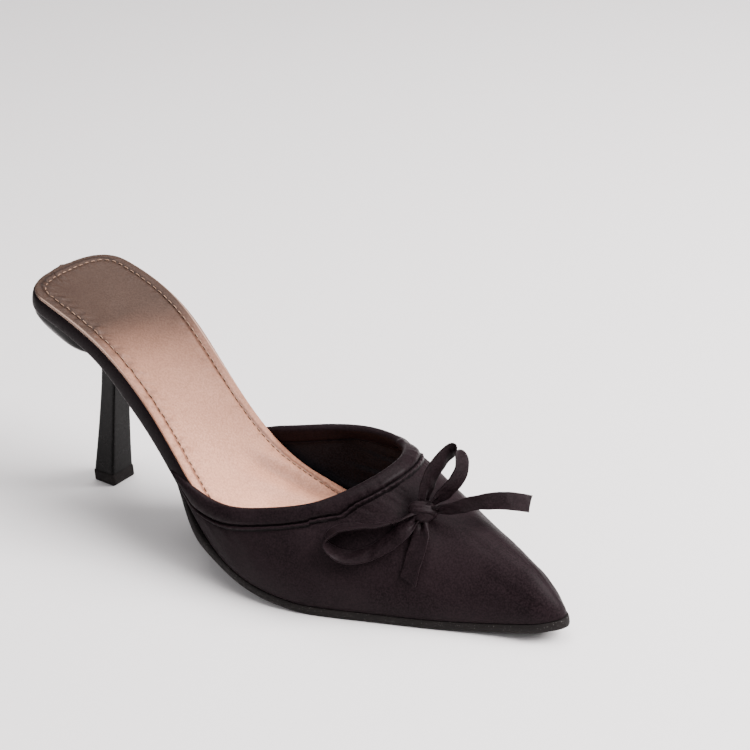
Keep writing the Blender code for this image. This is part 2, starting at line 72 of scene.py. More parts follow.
# The plan: share of the length, full width, and the outer and inner share of half that width
PLAN = (
    (0.00, SEAT_WIDTH, 0.95, 0.93),
    (0.10, SEAT_WIDTH, 1.00, 1.00),
    (0.19, SEAT_WIDTH, 0.99, 0.97),
    (0.27, WAIST_WIDTH, 1.11, 0.89),
    (0.34, WAIST_WIDTH, 1.20, 0.84),
    (0.41, WAIST_WIDTH, 1.33, 0.97),
    (0.48, BALL_WIDTH, 0.99, 0.79),
    (0.55, BALL_WIDTH, 1.03, 0.90),
    (0.63, BALL_WIDTH, 0.95, 0.97),
    (0.72, BALL_WIDTH, 0.73, 0.94),
    (0.82, BALL_WIDTH, 0.48, 0.76),
    (0.91, BALL_WIDTH, 0.27, 0.47),
    (1.00, BALL_WIDTH, 0.11, 0.11),
)
# The middle line's turn to the inner side, as a share of the point's
SHIFT = ((0.00, 0.0), (0.55, 0.0), (0.75, 0.18), (1.00, 1.0))
# The underside's climb to the seat
CLIMB = (
    (0.00, 1.000),
    (0.08, 0.940),
    (0.16, 0.842),
    (0.24, 0.692),
    (0.31, 0.512),
    (0.37, 0.328),
    (0.43, 0.172),
    (0.50, 0.070),
    (0.57, 0.024),
    (0.64, 0.004),
    (0.72, 0.000),
)
TREAD_START, TREAD_END = 0.655, 0.800
# The last's sections: share of the length, height, outer and inner shoulder, and the ridge's place
SECTIONS = (
    (0.25, 0.92, 0.07, 1.75, 0.45),
    (0.45, 0.99, 0.11, 1.45, 0.37),
    (0.60, 0.88, 0.155, 1.14, 0.265),
    (0.69, 0.84, 0.205, 0.83, 0.17),
    (0.80, 0.60, 0.265, 0.59, 0.12),
    (0.90, 0.455, 0.32, 0.38, 0.105),
    (1.00, 0.225, 0.375, 0.20, 0.10),
)
SECTION_RISE = (0.0, 0.52, 1.155, 1.155, 1.155, 0.52, 0.0)
RIDGE_PULL, SIDE_FLARE, REAR_FLARE, FLARE_GROWS = 0.6, 0.16, 0.25, (0.315, 0.42)
# The rim: place around the upper, from the outer sole edge to the inner, and share of the length
TOPLINE = (
    (0.00, 0.3480),
    (0.03, 0.3730),
    (0.08, 0.4180),
    (0.16, 0.4900),
    (0.24, 0.5923),
    (0.32, 0.6578),
    (0.40, 0.6863),
    (0.48, 0.6940),
    (0.56, 0.6870),
    (0.64, 0.6575),
    (0.72, 0.5779),
    (0.80, 0.4585),
    (0.90, 0.3921),
    (1.00, 0.3581),
)
DISH_STARTS, DISH_FADES = (0.0, 0.06), (0.10, 0.45)
WAIST_THINS, FRONT_THINS = (0.16, 0.38), (0.42, 0.62)
REAR_OPENS, SOLE_WIDENS = (0.33, 0.50), (0.34, 0.44)
SHANK_DEEPENS, SHANK_FADES = (0.16, 0.26), (0.38, 0.49)

KNOT_PLACE = (0.769, 0.374, 0.141)
# Each ribbon: name, node, the headings of its width at its start and end, whether each end is gathered at
# the knot, and the rows of its middle line: share of the length, place around the vamp, share of the stand
RIBBONS = (
    ("ribbon_loop_standing", "bow_loop_standing", (0.35, 0.72, -0.60), (0.35, 0.72, -0.60), (1, 1), (
        (0.7660, 0.385, 0.17),
        (0.7620, 0.402, 0.27),
        (0.7570, 0.428, 0.42),
        (0.7520, 0.473, 0.75),
        (0.7580, 0.527, 0.99),
        (0.7790, 0.511, 0.88),
        (0.7860, 0.465, 0.60),
        (0.7780, 0.420, 0.35),
        (0.7710, 0.390, 0.22),
    )),
    ("ribbon_loop_lying", "bow_loop_lying", (0.50, -0.65, 0.55), (0.40, -0.55, -0.70), (1, 1), (
        (0.7640, 0.355, 0.17),
        (0.7410, 0.282, 0.20),
        (0.7070, 0.238, 0.21),
        (0.6740, 0.210, 0.21),
        (0.6620, 0.180, 0.18),
        (0.6840, 0.156, 0.14),
        (0.7190, 0.168, 0.125),
        (0.7440, 0.216, 0.125),
        (0.7580, 0.270, 0.15),
        (0.7660, 0.345, 0.165),
    )),
    ("ribbon_tail_front", "bow_tail_front", (0.30, -0.50, 0.80), (-0.35, 0.40, 0.75), (1, 0), (
        (0.7720, 0.385, 0.15),
        (0.8030, 0.426, 0.35),
        (0.8380, 0.480, 0.54),
        (0.8680, 0.548, 0.63),
        (0.8810, 0.683, 0.71),
    )),
    ("ribbon_tail_side", "bow_tail_side", (0.95, 0.25, 0.0), (0.95, 0.25, 0.0), (1, 0), (
        (0.7730, 0.360, 0.110),
        (0.7860, 0.277, 0.090),
        (0.7890, 0.207, 0.065),
        (0.7910, 0.141, 0.060),
    )),
)


# Shape of the shoe

def bell(at, centre, width):
    """1 at the centre, falling to nothing on both sides."""
    return np.exp(-((at - centre) / width)**2)


def run_along(line):
    """The distance from a line's first place to each of its places."""
    return np.concatenate([[0.0], np.cumsum(np.linalg.norm(np.diff(line, axis=0), axis=1))])


def spline(knots, values):
    """A natural cubic through a table's rows, as a function."""
    x = np.asarray(knots, float)
    y = np.asarray(values, float)
    step = np.diff(x)
    count = len(x)
    system = np.eye(count)
    right = np.zeros(count)
    for i in range(1, count - 1):
        system[i, i - 1:i + 2] = step[i - 1], 2 * (step[i - 1] + step[i]), step[i]
        right[i] = 6 * ((y[i + 1] - y[i]) / step[i] - (y[i] - y[i - 1]) / step[i - 1])
    bend = np.linalg.solve(system, right)

    def value(at):
        at = np.clip(np.asarray(at, float), x[0], x[-1])
        i = np.clip(np.searchsorted(x, at, side="right") - 1, 0, count - 2)
        a = (x[i + 1] - at) / step[i]
        b = 1 - a
        curve = ((a**3 - a) * bend[i] + (b**3 - b) * bend[i + 1]) * step[i]**2 / 6
        return a * y[i] + b * y[i + 1] + curve

    return value


def ease(at, start, end):
    """0 before start, 1 after end and smooth between them."""
    k = np.clip((np.asarray(at, float) - start) / (end - start), 0, 1)
    return k * k * (3 - 2 * k)


def column(table, index):
    """A table's column as a curve over its first one."""
    return spline([row[0] for row in table], [row[index] for row in table])


outer_edge = spline([row[0] for row in PLAN], [row[1] / 2 * row[2] for row in PLAN])
inner_edge = spline([row[0] for row in PLAN], [row[1] / 2 * row[3] for row in PLAN])
point_shift = spline([row[0] for row in SHIFT], [row[1] * POINT_SHIFT for row in SHIFT])
section_height = spline([row[0] for row in SECTIONS], [row[1] * INSTEP for row in SECTIONS])
climb, topline, outer_shoulder = column(CLIMB, 1), column(TOPLINE, 1), column(SECTIONS, 2)
inner_shoulder, ridge_shift = column(SECTIONS, 3), column(SECTIONS, 4)
UPPER_GROW = WALL + UPPER_EASE
SOLE_GROW = UPPER_GROW + SOLE_MARGIN
SOLE_TOP = SOLE_THICKNESS + GAP


def round_end(distance, length, power):
    """How much of the full width is left at a distance from a rounded end."""
    k = 1 - np.clip(distance / length, 0, 1)
    return (1 - k**power)**(1 / power)


def cap(share, grow):
    """The plan's rounded seat and point."""
    back = share * BOARD_LENGTH + grow
    front = (1 - share) * BOARD_LENGTH + grow
    return (round_end(back, SEAT_ROUND + grow, SEAT_SQUARE)
            * round_end(front, NOSE_ROUND + grow, NOSE_SQUARE))


def edges(share, grow=0.0):
    """Y of the outer and the inner edge of the plan, grown on all sides."""
    share = np.asarray(share, float)
    low = -outer_edge(share) - grow
    high = inner_edge(share) + grow
    middle = (low + high) / 2 + point_shift(share)
    half = (high - low) / 2 * cap(share, grow)
    return middle - half, middle + half


def profile(share):
    """X and Z of the board's underside on the middle line."""
    share = np.asarray(share, float)
    rise = climb(share) * (1 - ease(share, TREAD_START - 0.06, TREAD_START))
    spring = np.clip((share - TREAD_END) / (1 - TREAD_END), 0, None)**2
    return share * BOARD_LENGTH - SEAT_REACH, SOLE_TOP + SEAT_RISE * rise + TOE_SPRING * spring


def point(share, across, height):
    """A point at a share of the length, a Y and a height square to the board's underside."""
    share = np.asarray(share, float)
    reach = 0.001
    x, z = profile(share)
    x0, z0 = profile(share - reach)
    x1, z1 = profile(share + reach)
    size = np.hypot(x1 - x0, z1 - z0)
    run, climbing = (x1 - x0) / size, (z1 - z0) / size
    return np.stack(np.broadcast_arrays(x - climbing * height, across, z + run * height), -1)


def board_height(share):
    """The wrapped board's thickness, which falls from the seat to the front."""
    waist = ease(share, *WAIST_THINS)
    front = ease(share, *FRONT_THINS)
    return BOARD_SEAT + (BOARD_WAIST - BOARD_SEAT) * waist + (BOARD_FRONT - BOARD_WAIST) * front


def shank_drop(share):
    """How much lower the wrapped board reaches where the stiffener lies in it."""
    return SHANK_DROP * ease(share, *SHANK_DEEPENS) * (1 - ease(share, *SHANK_FADES))


def dish(share, side):
    """How deep the seat is dished; side runs from -1 to 1 across."""
    return SEAT_DISH * (1 - ease(share, *DISH_FADES)) * ease(share, *DISH_STARTS) * (1 - side**2)


def upper_grow(share):
    """How far the upper stands outside the board, hugging it at its rear ends."""
    return UPPER_GROW - TIP_HUGS * (1 - ease(share, *REAR_OPENS))


def upper_section(share, around):
    """The upper's outer face: around runs from 0 at the outer sole edge over the top to 1 at the inner."""
    share = np.asarray(share, float)
    around = np.asarray(around, float)
    low, high = edges(share, upper_grow(share))
    middle = (low + high) / 2
    half = (high - low) / 2
    ridge = ridge_shift(share) * half
    flare = 1 + SIDE_FLARE * (REAR_FLARE + (1 - REAR_FLARE) * ease(share, *FLARE_GROWS))
    places = (-half, -half * flare, RIDGE_PULL * ridge - half * outer_shoulder(share), ridge,
              RIDGE_PULL * ridge + half * inner_shoulder(share), half * flare, half)
    weights = [math.comb(6, i) * around**i * (1 - around)**(6 - i) for i in range(7)]
    across = sum(weight * place for weight, place in zip(weights, places))
    rise = sum(weight * place for weight, place in zip(weights, SECTION_RISE))
    tall = section_height(share) * round_end((1 - share) * BOARD_LENGTH + UPPER_GROW, 2 * NOSE_ROUND, 2.0)
    return point(share, middle + across, tall * rise)


def unit(vectors):
    return vectors / np.maximum(np.linalg.norm(vectors, axis=-1, keepdims=True), 1e-12)


RIM_SOFT, RIM_FADE = 0.0125, 0.0170
RIM_AT = np.linspace(0, 1, 401)


def softened(line, length):
    """A line of places evened out over a length, its two ends kept."""
    run = run_along(line)
    even = np.linspace(0, run[-1], 601)
    step = even[1]
    places = np.stack([np.interp(even, run, line[:, i]) for i in range(3)], 1)
    reach = int(3.5 * length / step)
    weights = np.exp(-0.5 * (np.arange(-reach, reach + 1) * step / length)**2)
    weights /= weights.sum()

    def blur(values):
        before = 2 * values[0] - values[reach:0:-1]
        after = 2 * values[-1] - values[-2:-reach - 2:-1]
        padded = np.concatenate([before, values, after])
        return np.stack([np.convolve(padded[:, i], weights, 'valid') for i in range(3)], 1)

    first = blur(places)
    second = first + blur(places - first)
    return np.stack([np.interp(run, even, second[:, i]) for i in range(3)], 1)


RIM = upper_section(topline(RIM_AT), RIM_AT)
RIM_PULL = softened(RIM, RIM_SOFT) - RIM


def upper_face(share, around):
    """The upper's outer face, its rim drawn into an even curve."""
    share, around = np.asarray(share, float), np.asarray(around, float)
    away = (share - topline(around)) * BOARD_LENGTH
    pull = np.stack([np.interp(around, RIM_AT, RIM_PULL[:, i]) for i in range(3)], -1)
    return upper_section(share, around) + pull * np.exp(-(away / RIM_FADE)**2)[..., None]


def rim_distance(places):
    """How far places lie from the rim."""
    rim = RIM + RIM_PULL
    flat = places.reshape(-1, 3)
    batches = np.array_split(flat, 1 + len(flat) // 4000)
    near = [np.sqrt(((batch[:, None] - rim[None])**2).sum(-1).min(1)) for batch in batches]
    return np.concatenate(near).reshape(places.shape[:-1])


def slopes(share, around):
    """The upper's two directions and its outward normal, at one place or at many."""
    step = 0.0005
    along = (upper_face(share + step, around) - upper_face(share - step, around)) / (2 * step)
    across = (upper_face(share, around + step) - upper_face(share, around - step)) / (2 * step)
    return along, across, unit(np.cross(along, across))


def walk(share, around, heading, distance, steps=4):
    """Goes a distance over the upper's face in a heading, and returns the places reached."""
    share, around = np.array(share, float), np.array(around, float)
    for _ in range(steps):
        along, across, normal = slopes(share, around)
        flat = heading - normal * (heading * normal).sum(-1, keepdims=True)
        flat = unit(flat) * (np.asarray(distance) / steps)[..., None]
        aa, ab, bb = (along * along).sum(-1), (along * across).sum(-1), (across * across).sum(-1)
        af, bf = (along * flat).sum(-1), (across * flat).sum(-1)
        size = aa * bb - ab * ab
        share = share + (af * bb - bf * ab) / size
        around = around + (bf * aa - af * ab) / size
    return share, around


def bow_point(share, around, lift):
    """A point over the vamp, its height given as a share of the bow's stand."""
    return upper_face(share, around) + slopes(share, around)[2] * lift * BOW_STAND


# Building with operators

def deselect():
    if bpy.context.object and bpy.context.object.mode != 'OBJECT':
        bpy.ops.object.mode_set(mode='OBJECT')
    bpy.ops.object.select_all(action='DESELECT')


def select_only(piece):
    deselect()
    piece.select_set(True)
    bpy.context.view_layer.objects.active = piece


def grid_piece(name, places, ring=False, caps=False):
    """A grid whose points are put on a surface, given as rows of places; rings close on themselves."""
    places = np.asarray(places, float)
    if ring:
        places = np.concatenate([places, places[:, :1]], axis=1)
    rows, columns = places.shape[:2]
    deselect()
    bpy.ops.mesh.primitive_grid_add(x_subdivisions=columns - 1, y_subdivisions=rows - 1, size=1.0)
    piece = bpy.context.object
    piece.name = piece.data.name = name
    piece.data.vertices.foreach_set("co", places.reshape(-1).astype(np.float32))
    piece.data.update()
    bpy.ops.object.mode_set(mode='EDIT')
    bpy.ops.mesh.select_all(action='SELECT')
    bpy.ops.mesh.remove_doubles(threshold=0.000004)
    if caps:
        bpy.ops.mesh.select_all(action='DESELECT')
        bpy.ops.mesh.select_non_manifold(extend=False)
        bpy.ops.mesh.fill_holes(sides=0)
        bpy.ops.mesh.select_all(action='SELECT')
        bpy.ops.mesh.normals_make_consistent(inside=False)
    else:
        # Rows run forwards and columns to the inner side, so the grid comes out face down
        bpy.ops.mesh.flip_normals()
    bpy.ops.object.mode_set(mode='OBJECT')
    bpy.ops.object.shade_smooth()
    return piece


def apply_modifier(piece, kind, name, **values):
    """Adds a modifier with its values and applies it."""
    select_only(piece)
    modifier = piece.modifiers.new(name, kind)
    for key, value in values.items():
        setattr(modifier, key, value)
    bpy.ops.object.modifier_apply(modifier=modifier.name)


def thicken(piece, thickness, offset=-1.0):
    """Gives an open piece a wall, under its face or, at offset 0, on both sides of it."""
    apply_modifier(piece, 'SOLIDIFY', "thickness", thickness=thickness, offset=offset, use_rim=True,
                   use_even_offset=False)


def smooth_by_angle(piece, degrees):
    select_only(piece)
    bpy.ops.object.shade_smooth_by_angle(angle=math.radians(degrees))


def hand_over(piece, material, node):
    """Gives a finished piece its material and its place in the frame, where it may replace a node."""
    select_only(piece)
    bpy.ops.object.transform_apply(location=True, rotation=True, scale=True)
    piece.data.materials.clear()
    piece.data.materials.append(material)
    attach(piece, "root")
    if node:
        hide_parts(node)


def paint(piece, name, values):
    """A mask on the piece's points, read by its material."""
    layer = piece.data.attributes.new(name, 'FLOAT', 'POINT')
    layer.data.foreach_set("value", np.asarray(values, np.float32))


def points_of(piece):
    co = np.zeros(len(piece.data.vertices) * 3)
    piece.data.vertices.foreach_get("co", co)
    return co.reshape(-1, 3)


def ripple(at, length, seed):
    """A soft uneven wave of about the given length, from -1 to 1."""
    turns = 2 * math.pi * at / length
    return (np.sin(turns + seed) + 0.6 * np.sin(1.73 * turns + 2.1 * seed)
            + 0.45 * np.sin(0.61 * turns + 3.7 * seed)) / 2.05


# Materials

def new_group(name, inputs, outputs):
    """An empty shader node group with named sockets."""
    group = bpy.data.node_groups.new(name, 'ShaderNodeTree')
    for socket, kind, value in inputs:
        made = group.interface.new_socket(socket, in_out='INPUT', socket_type=kind)
        if value is not None:
            made.default_value = value
    for socket, kind in outputs:
        group.interface.new_socket(socket, in_out='OUTPUT', socket_type=kind)
    return group, group.nodes.new('NodeGroupInput'), group.nodes.new('NodeGroupOutput')


def link(tree, source, target):
    tree.links.new(source, target)


def noise_node(tree, vector, scale, detail=3.0, rough=0.55):
    node = tree.nodes.new('ShaderNodeTexNoise')
    node.inputs["Detail"].default_value = detail
    node.inputs["Roughness"].default_value = rough
    if isinstance(scale, (int, float)):
        node.inputs["Scale"].default_value = scale
    else:
        link(tree, scale, node.inputs["Scale"])
    link(tree, vector, node.inputs["Vector"])
    return node


def math_node(tree, operation, *values):
    node = tree.nodes.new('ShaderNodeMath')
    node.operation = operation
    for i, value in enumerate(values):
        if isinstance(value, (int, float)):
            node.inputs[i].default_value = value
        else:
            link(tree, value, node.inputs[i])
    return node.outputs[0]


def mix_colour(tree, factor, first, second, blend='MIX'):
    node = tree.nodes.new('ShaderNodeMix')
    node.data_type = 'RGBA'
    node.blend_type = blend
    for socket, value in ((node.inputs[0], factor), (node.inputs[6], first), (node.inputs[7], second)):
        if isinstance(value, (int, float)):
            socket.default_value = value
        elif isinstance(value, tuple):
            socket.default_value = (*value[:3], 1.0)
        else:
            link(tree, value, socket)
    return node.outputs[2]


def stain(tree, base, mask, share, colour, blend='MIX'):
    """Lays a colour on a base where a mask is, up to a share."""
    return mix_colour(tree, math_node(tree, 'MULTIPLY', mask, share), base, colour, blend)


def tinted(colour, *factors):
    """A colour times one factor, or times one for each of its parts."""
    return tuple(part * factors[i % len(factors)] for i, part in enumerate(colour))


def range_node(tree, value, low, high, to_low=0.0, to_high=1.0):
    node = tree.nodes.new('ShaderNodeMapRange')
    node.interpolation_type = 'SMOOTHSTEP'
    link(tree, value, node.inputs[0])
    for i, number in enumerate((low, high, to_low, to_high)):
        node.inputs[i + 1].default_value = number
    return node.outputs[0]


def weave_group():
    """Satin: fine floats of thread across the cloth, mottled, with slow changes of tone that the black satin uses
    as painted sheen patches.
    """
    group, inside, outside = new_group("satin_weave", (
        ("Vector", 'NodeSocketVector', None), ("Thread", 'NodeSocketFloat', 2200.0),
        ("Slub", 'NodeSocketFloat', 1500.0), ("Drift", 'NodeSocketFloat', 45.0)),
        (("Height", 'NodeSocketFloat'), ("Mottle", 'NodeSocketFloat'), ("Tone_and_sheen", 'NodeSocketFloat')))
    stretch = group.nodes.new('ShaderNodeMapping')
    stretch.inputs["Scale"].default_value = (0.35, 1.0, 1.0)
    link(group, inside.outputs["Vector"], stretch.inputs["Vector"])
    threads = noise_node(group, stretch.outputs[0], inside.outputs["Thread"], 2.0, 0.6)
    slub = noise_node(group, inside.outputs["Vector"], inside.outputs["Slub"], 3.0, 0.6)
    drift = noise_node(group, inside.outputs["Vector"], inside.outputs["Drift"], 2.0, 0.5)
    height = math_node(group, 'ADD', math_node(group, 'MULTIPLY', threads.outputs[0], 0.65),
                       math_node(group, 'MULTIPLY', slub.outputs[0], 0.35))
    link(group, height, outside.inputs["Height"])
    link(group, range_node(group, slub.outputs[0], 0.3, 0.7), outside.inputs["Mottle"])
    # Slow patches of tone, which also serve as painted sheen
    link(group, range_node(group, drift.outputs[0], 0.3, 0.7), outside.inputs["Tone_and_sheen"])
    return group


def wear_and_glint_group():
    """Faint dust and rubbing: small specks and soft clouds; on the rubber the specks are painted glints."""
    group, inside, outside = new_group("dust_rub_and_glints", (
        ("Vector", 'NodeSocketVector', None), ("Speck", 'NodeSocketFloat', 900.0),
        ("Cloud", 'NodeSocketFloat', 60.0)),
        (("Specks", 'NodeSocketFloat'), ("Clouds", 'NodeSocketFloat')))
    speck = noise_node(group, inside.outputs["Vector"], inside.outputs["Speck"], 1.0, 0.5)
    cloud = noise_node(group, inside.outputs["Vector"], inside.outputs["Cloud"], 4.0, 0.6)
    link(group, range_node(group, speck.outputs[0], 0.66, 0.74), outside.inputs["Specks"])
    link(group, range_node(group, cloud.outputs[0], 0.42, 0.72), outside.inputs["Clouds"])
    return group


def new_material(name, **sockets):
    """A material with its shader's plain values set, and its tree, shader and object coordinates."""
    material = bpy.data.materials.new(name)
    material.use_nodes = True
    tree = material.node_tree
    shader = tree.nodes["Principled BSDF"]
    for key, value in sockets.items():
        socket = shader.inputs[key.replace("_", " ")]
        socket.default_value = (*value, 1.0) if isinstance(value, tuple) and len(value) == 3 else value
    place = tree.nodes.new('ShaderNodeTexCoord').outputs["Object"]
    return material, tree, shader, place


def use_group(tree, group, **values):
    node = tree.nodes.new('ShaderNodeGroup')
    node.node_tree = group
    for key, value in values.items():
        if isinstance(value, (int, float)):
            node.inputs[key].default_value = value
        else:
            link(tree, value, node.inputs[key])
    return node


def bump(tree, shader, height, strength, distance):
    """Raises a material's surface by a height, for its normal alone."""
    node = tree.nodes.new('ShaderNodeBump')
    node.inputs["Strength"].default_value = strength
    node.inputs["Distance"].default_value = distance
    link(tree, height, node.inputs["Height"])
    link(tree, node.outputs[0], shader.inputs["Normal"])


def attribute(tree, name):
    node = tree.nodes.new('ShaderNodeAttribute')
    node.attribute_name = name
    return node.outputs["Fac"]


def black_satin(name, colour, lit, groups, sheen=0.02, rough=(0.42, 0.56), grain=0.6, seam_shade_and_highlight=False):
    """Black satin: a woven grain, brownish in slow patches of painted sheen, and on the binding darker along its
    seams, with painted shade in the grooves and a painted highlight on the stitched ridge.
    """
    material, tree, shader, place = new_material(
        name, Sheen_Weight=sheen, Sheen_Roughness=0.35, Sheen_Tint=(0.62, 0.50, 0.53), Specular_IOR_Level=0.045)
    weave = use_group(tree, groups["weave"], Vector=place)
    dust = use_group(tree, groups["wear_and_glints"], Vector=place)
    # Painted sheen: slow patches of the lit satin colour over the shaded one
    base = mix_colour(tree, weave.outputs["Tone_and_sheen"], colour, lit)
    base = stain(tree, base, weave.outputs["Mottle"], 0.5, tinted(lit, 2.4))
    base = stain(tree, base, dust.outputs["Specks"], 0.004, (0.30, 0.27, 0.26))
    if seam_shade_and_highlight:
        # Painted highlight on the binding's stitched ridge, then painted shade in its grooves
        base = mix_colour(tree, attribute(tree, "ridge"), base, tinted(lit, 2.6))
        base = mix_colour(tree, attribute(tree, "groove_shade"), base, tinted(colour, 0.12))
    link(tree, base, shader.inputs["Base Color"])
    mottle = math_node(tree, 'MULTIPLY_ADD', weave.outputs["Mottle"], rough[1] - rough[0], rough[0])
    link(tree, mottle, shader.inputs["Roughness"])
    bump(tree, shader, weave.outputs["Height"], grain, 0.00022)
    return material


def sock_satin(name, colour, shaded, edge, groups):
    """Rose beige satin, with painted shade: duller and browner on the seat and darker in the puckers, the trough
    and the sunk stitch line; lighter along its raw edge.
    """
    material, tree, shader, place = new_material(
        name, Sheen_Weight=0.03, Sheen_Roughness=0.4, Sheen_Tint=(0.95, 0.80, 0.72), Specular_IOR_Level=0.12)
    weave = use_group(tree, groups["weave"], Vector=place, Thread=2600.0, Slub=1300.0, Drift=55.0)
    dust = use_group(tree, groups["wear_and_glints"], Vector=place, Cloud=70.0)
    # Painted shade: the seat mask lays the shaded seat colour over the sock colour
    base = mix_colour(tree, attribute(tree, "seat"), colour, shaded)
    base = stain(tree, base, weave.outputs["Tone_and_sheen"], 0.30, (0.70, 0.66, 0.64), 'MULTIPLY')
    base = stain(tree, base, weave.outputs["Mottle"], 0.70, (0.62, 0.58, 0.55), 'MULTIPLY')
    base = stain(tree, base, dust.outputs["Clouds"], 0.35, (0.78, 0.73, 0.70), 'MULTIPLY')
    # Painted shade in the puckers beside the stitches and along the trough over the ball
    base = mix_colour(tree, attribute(tree, "folds"), base, (0.16, 0.12, 0.10), 'MULTIPLY')
    # Painted shade along the sunk stitch line
    base = mix_colour(tree, attribute(tree, "stitched"), base, (0.22, 0.16, 0.13), 'MULTIPLY')
    base = mix_colour(tree, attribute(tree, "raw_edge"), base, edge)
    link(tree, base, shader.inputs["Base Color"])
    rough = math_node(tree, 'MULTIPLY_ADD', weave.outputs["Mottle"], 0.12, 0.36)
    link(tree, rough, shader.inputs["Roughness"])
    bump(tree, shader, weave.outputs["Height"], 0.55, 0.00025)
    return material


def gloss_black(name, colour, groups):
    """Polished moulded plastic with faint swirls, dust and a slightly uneven coat."""
    material, tree, shader, place = new_material(name, Coat_Weight=0.03, Coat_Roughness=0.08,
                                                 Specular_IOR_Level=0.08)
    dust = use_group(tree, groups["wear_and_glints"], Vector=place, Speck=1400.0, Cloud=90.0)
    base = stain(tree, colour, dust.outputs["Specks"], 0.35, (0.05, 0.047, 0.045))
    base = stain(tree, base, dust.outputs["Clouds"], 0.25, tinted(colour, 2.2))
    link(tree, base, shader.inputs["Base Color"])
    link(tree, math_node(tree, 'MULTIPLY_ADD', dust.outputs["Clouds"], 0.16, 0.17), shader.inputs["Roughness"])
    waver = noise_node(tree, place, 160.0, 2.0, 0.4)
    bump(tree, shader, waver.outputs[0], 0.10, 0.0006)
    return material


def matt_rubber(name, colour, groups, grain, painted_glint):
    """Matt rubber with a pebbled grain, small painted glints and scuffed edges."""
    material, tree, shader, place = new_material(name, Specular_IOR_Level=0.1)
    dust = use_group(tree, groups["wear_and_glints"], Vector=place, Speck=1700.0, Cloud=120.0)
    pebble = tree.nodes.new('ShaderNodeTexVoronoi')
    pebble.inputs["Scale"].default_value = grain
    link(tree, place, pebble.inputs["Vector"])
    base = stain(tree, colour, dust.outputs["Clouds"], 0.5, tinted(colour, 1.8))
    # Painted glints: small lighter specks
    base = stain(tree, base, dust.outputs["Specks"], painted_glint, (0.09, 0.085, 0.08))
    link(tree, base, shader.inputs["Base Color"])
    link(tree, math_node(tree, 'MULTIPLY_ADD', dust.outputs["Specks"], -0.25, 0.66), shader.inputs["Roughness"])
    bump(tree, shader, pebble.outputs["Distance"], 0.25, 0.0003)
    return material


MATERIALS = {}


def make_materials(colours):
    groups = {"weave": weave_group(), "wear_and_glints": wear_and_glint_group()}
    satin, lit, thread = tuple(colours.satin), tuple(colours.satin_lit), tuple(colours.thread)
    cooler = (1.1, 1.7, 1.7)
    MATERIALS.update(
        satin=black_satin("black_satin", satin, lit, groups),
        lining=black_satin("lining_satin", tinted(satin, *cooler), tinted(lit, *cooler), groups,
                           sheen=0.03, rough=(0.36, 0.48), grain=0.35),
        binding=black_satin("binding_satin", tinted(satin, 0.85), tinted(lit, 0.9), groups,
                            rough=(0.33, 0.45), grain=0.45, seam_shade_and_highlight=True),
        wrap=black_satin("board_wrap_satin", tinted(satin, 0.7), tinted(lit, 0.6), groups,
                         rough=(0.42, 0.55), grain=0.4),
        ribbon=black_satin("ribbon_satin", tinted(satin, 0.85), tinted(lit, 0.9), groups,
                           rough=(0.36, 0.48), grain=0.45),
        # The sock's seat colour is painted shade
        sock=sock_satin("sock_satin", tuple(colours.sock), tuple(colours.seat), tuple(colours.raw_edge), groups),
        # The thread's halved colour is painted shade for the seat
        thread=sock_satin("sock_thread", thread, tinted(thread, 0.5), thread, groups),
        gloss=gloss_black("heel_gloss", tuple(colours.heel), groups),
        lift=matt_rubber("lift_rubber", tuple(colours.rubber), groups, 1500.0, 0.25),
        sole=matt_rubber("sole_rubber", tuple(colours.rubber), groups, 900.0, 0.5),
    )


# Sizes and colours that a user would change

class MuleSizes(bpy.types.PropertyGroup):
    upper_cloth: bpy.props.FloatProperty(
        name="Upper cloth", description="Thickness of the satin and its backing", default=0.0008, unit='LENGTH')
    lining_cloth: bpy.props.FloatProperty(
        name="Lining cloth", description="Thickness of the lining", default=0.0006, unit='LENGTH')
    binding_width: bpy.props.FloatProperty(
        name="Binding width", description="From the rim to the stitched ridge", default=0.0068, unit='LENGTH')
    binding_puff: bpy.props.FloatProperty(
        name="Binding puff", description="How far the binding stands off the upper", default=0.0015, unit='LENGTH')
    stitch_inset: bpy.props.FloatProperty(
        name="Stitch inset", description="From the sock's edge to its stitches", default=0.0042, unit='LENGTH')
    stitch_pitch: bpy.props.FloatProperty(
        name="Stitch pitch", description="From one stitch to the next", default=0.0030, unit='LENGTH')
    sock_cloth: bpy.props.FloatProperty(
        name="Sock cloth", description="Thickness of the sock", default=0.0012, unit='LENGTH')
    thread_radius: bpy.props.FloatProperty(
        name="Thread radius", description="Half the thickness of a stitch", default=0.0003, unit='LENGTH')
    ribbon_cloth: bpy.props.FloatProperty(
        name="Ribbon cloth", description="Thickness of the ribbon", default=0.0004, unit='LENGTH')


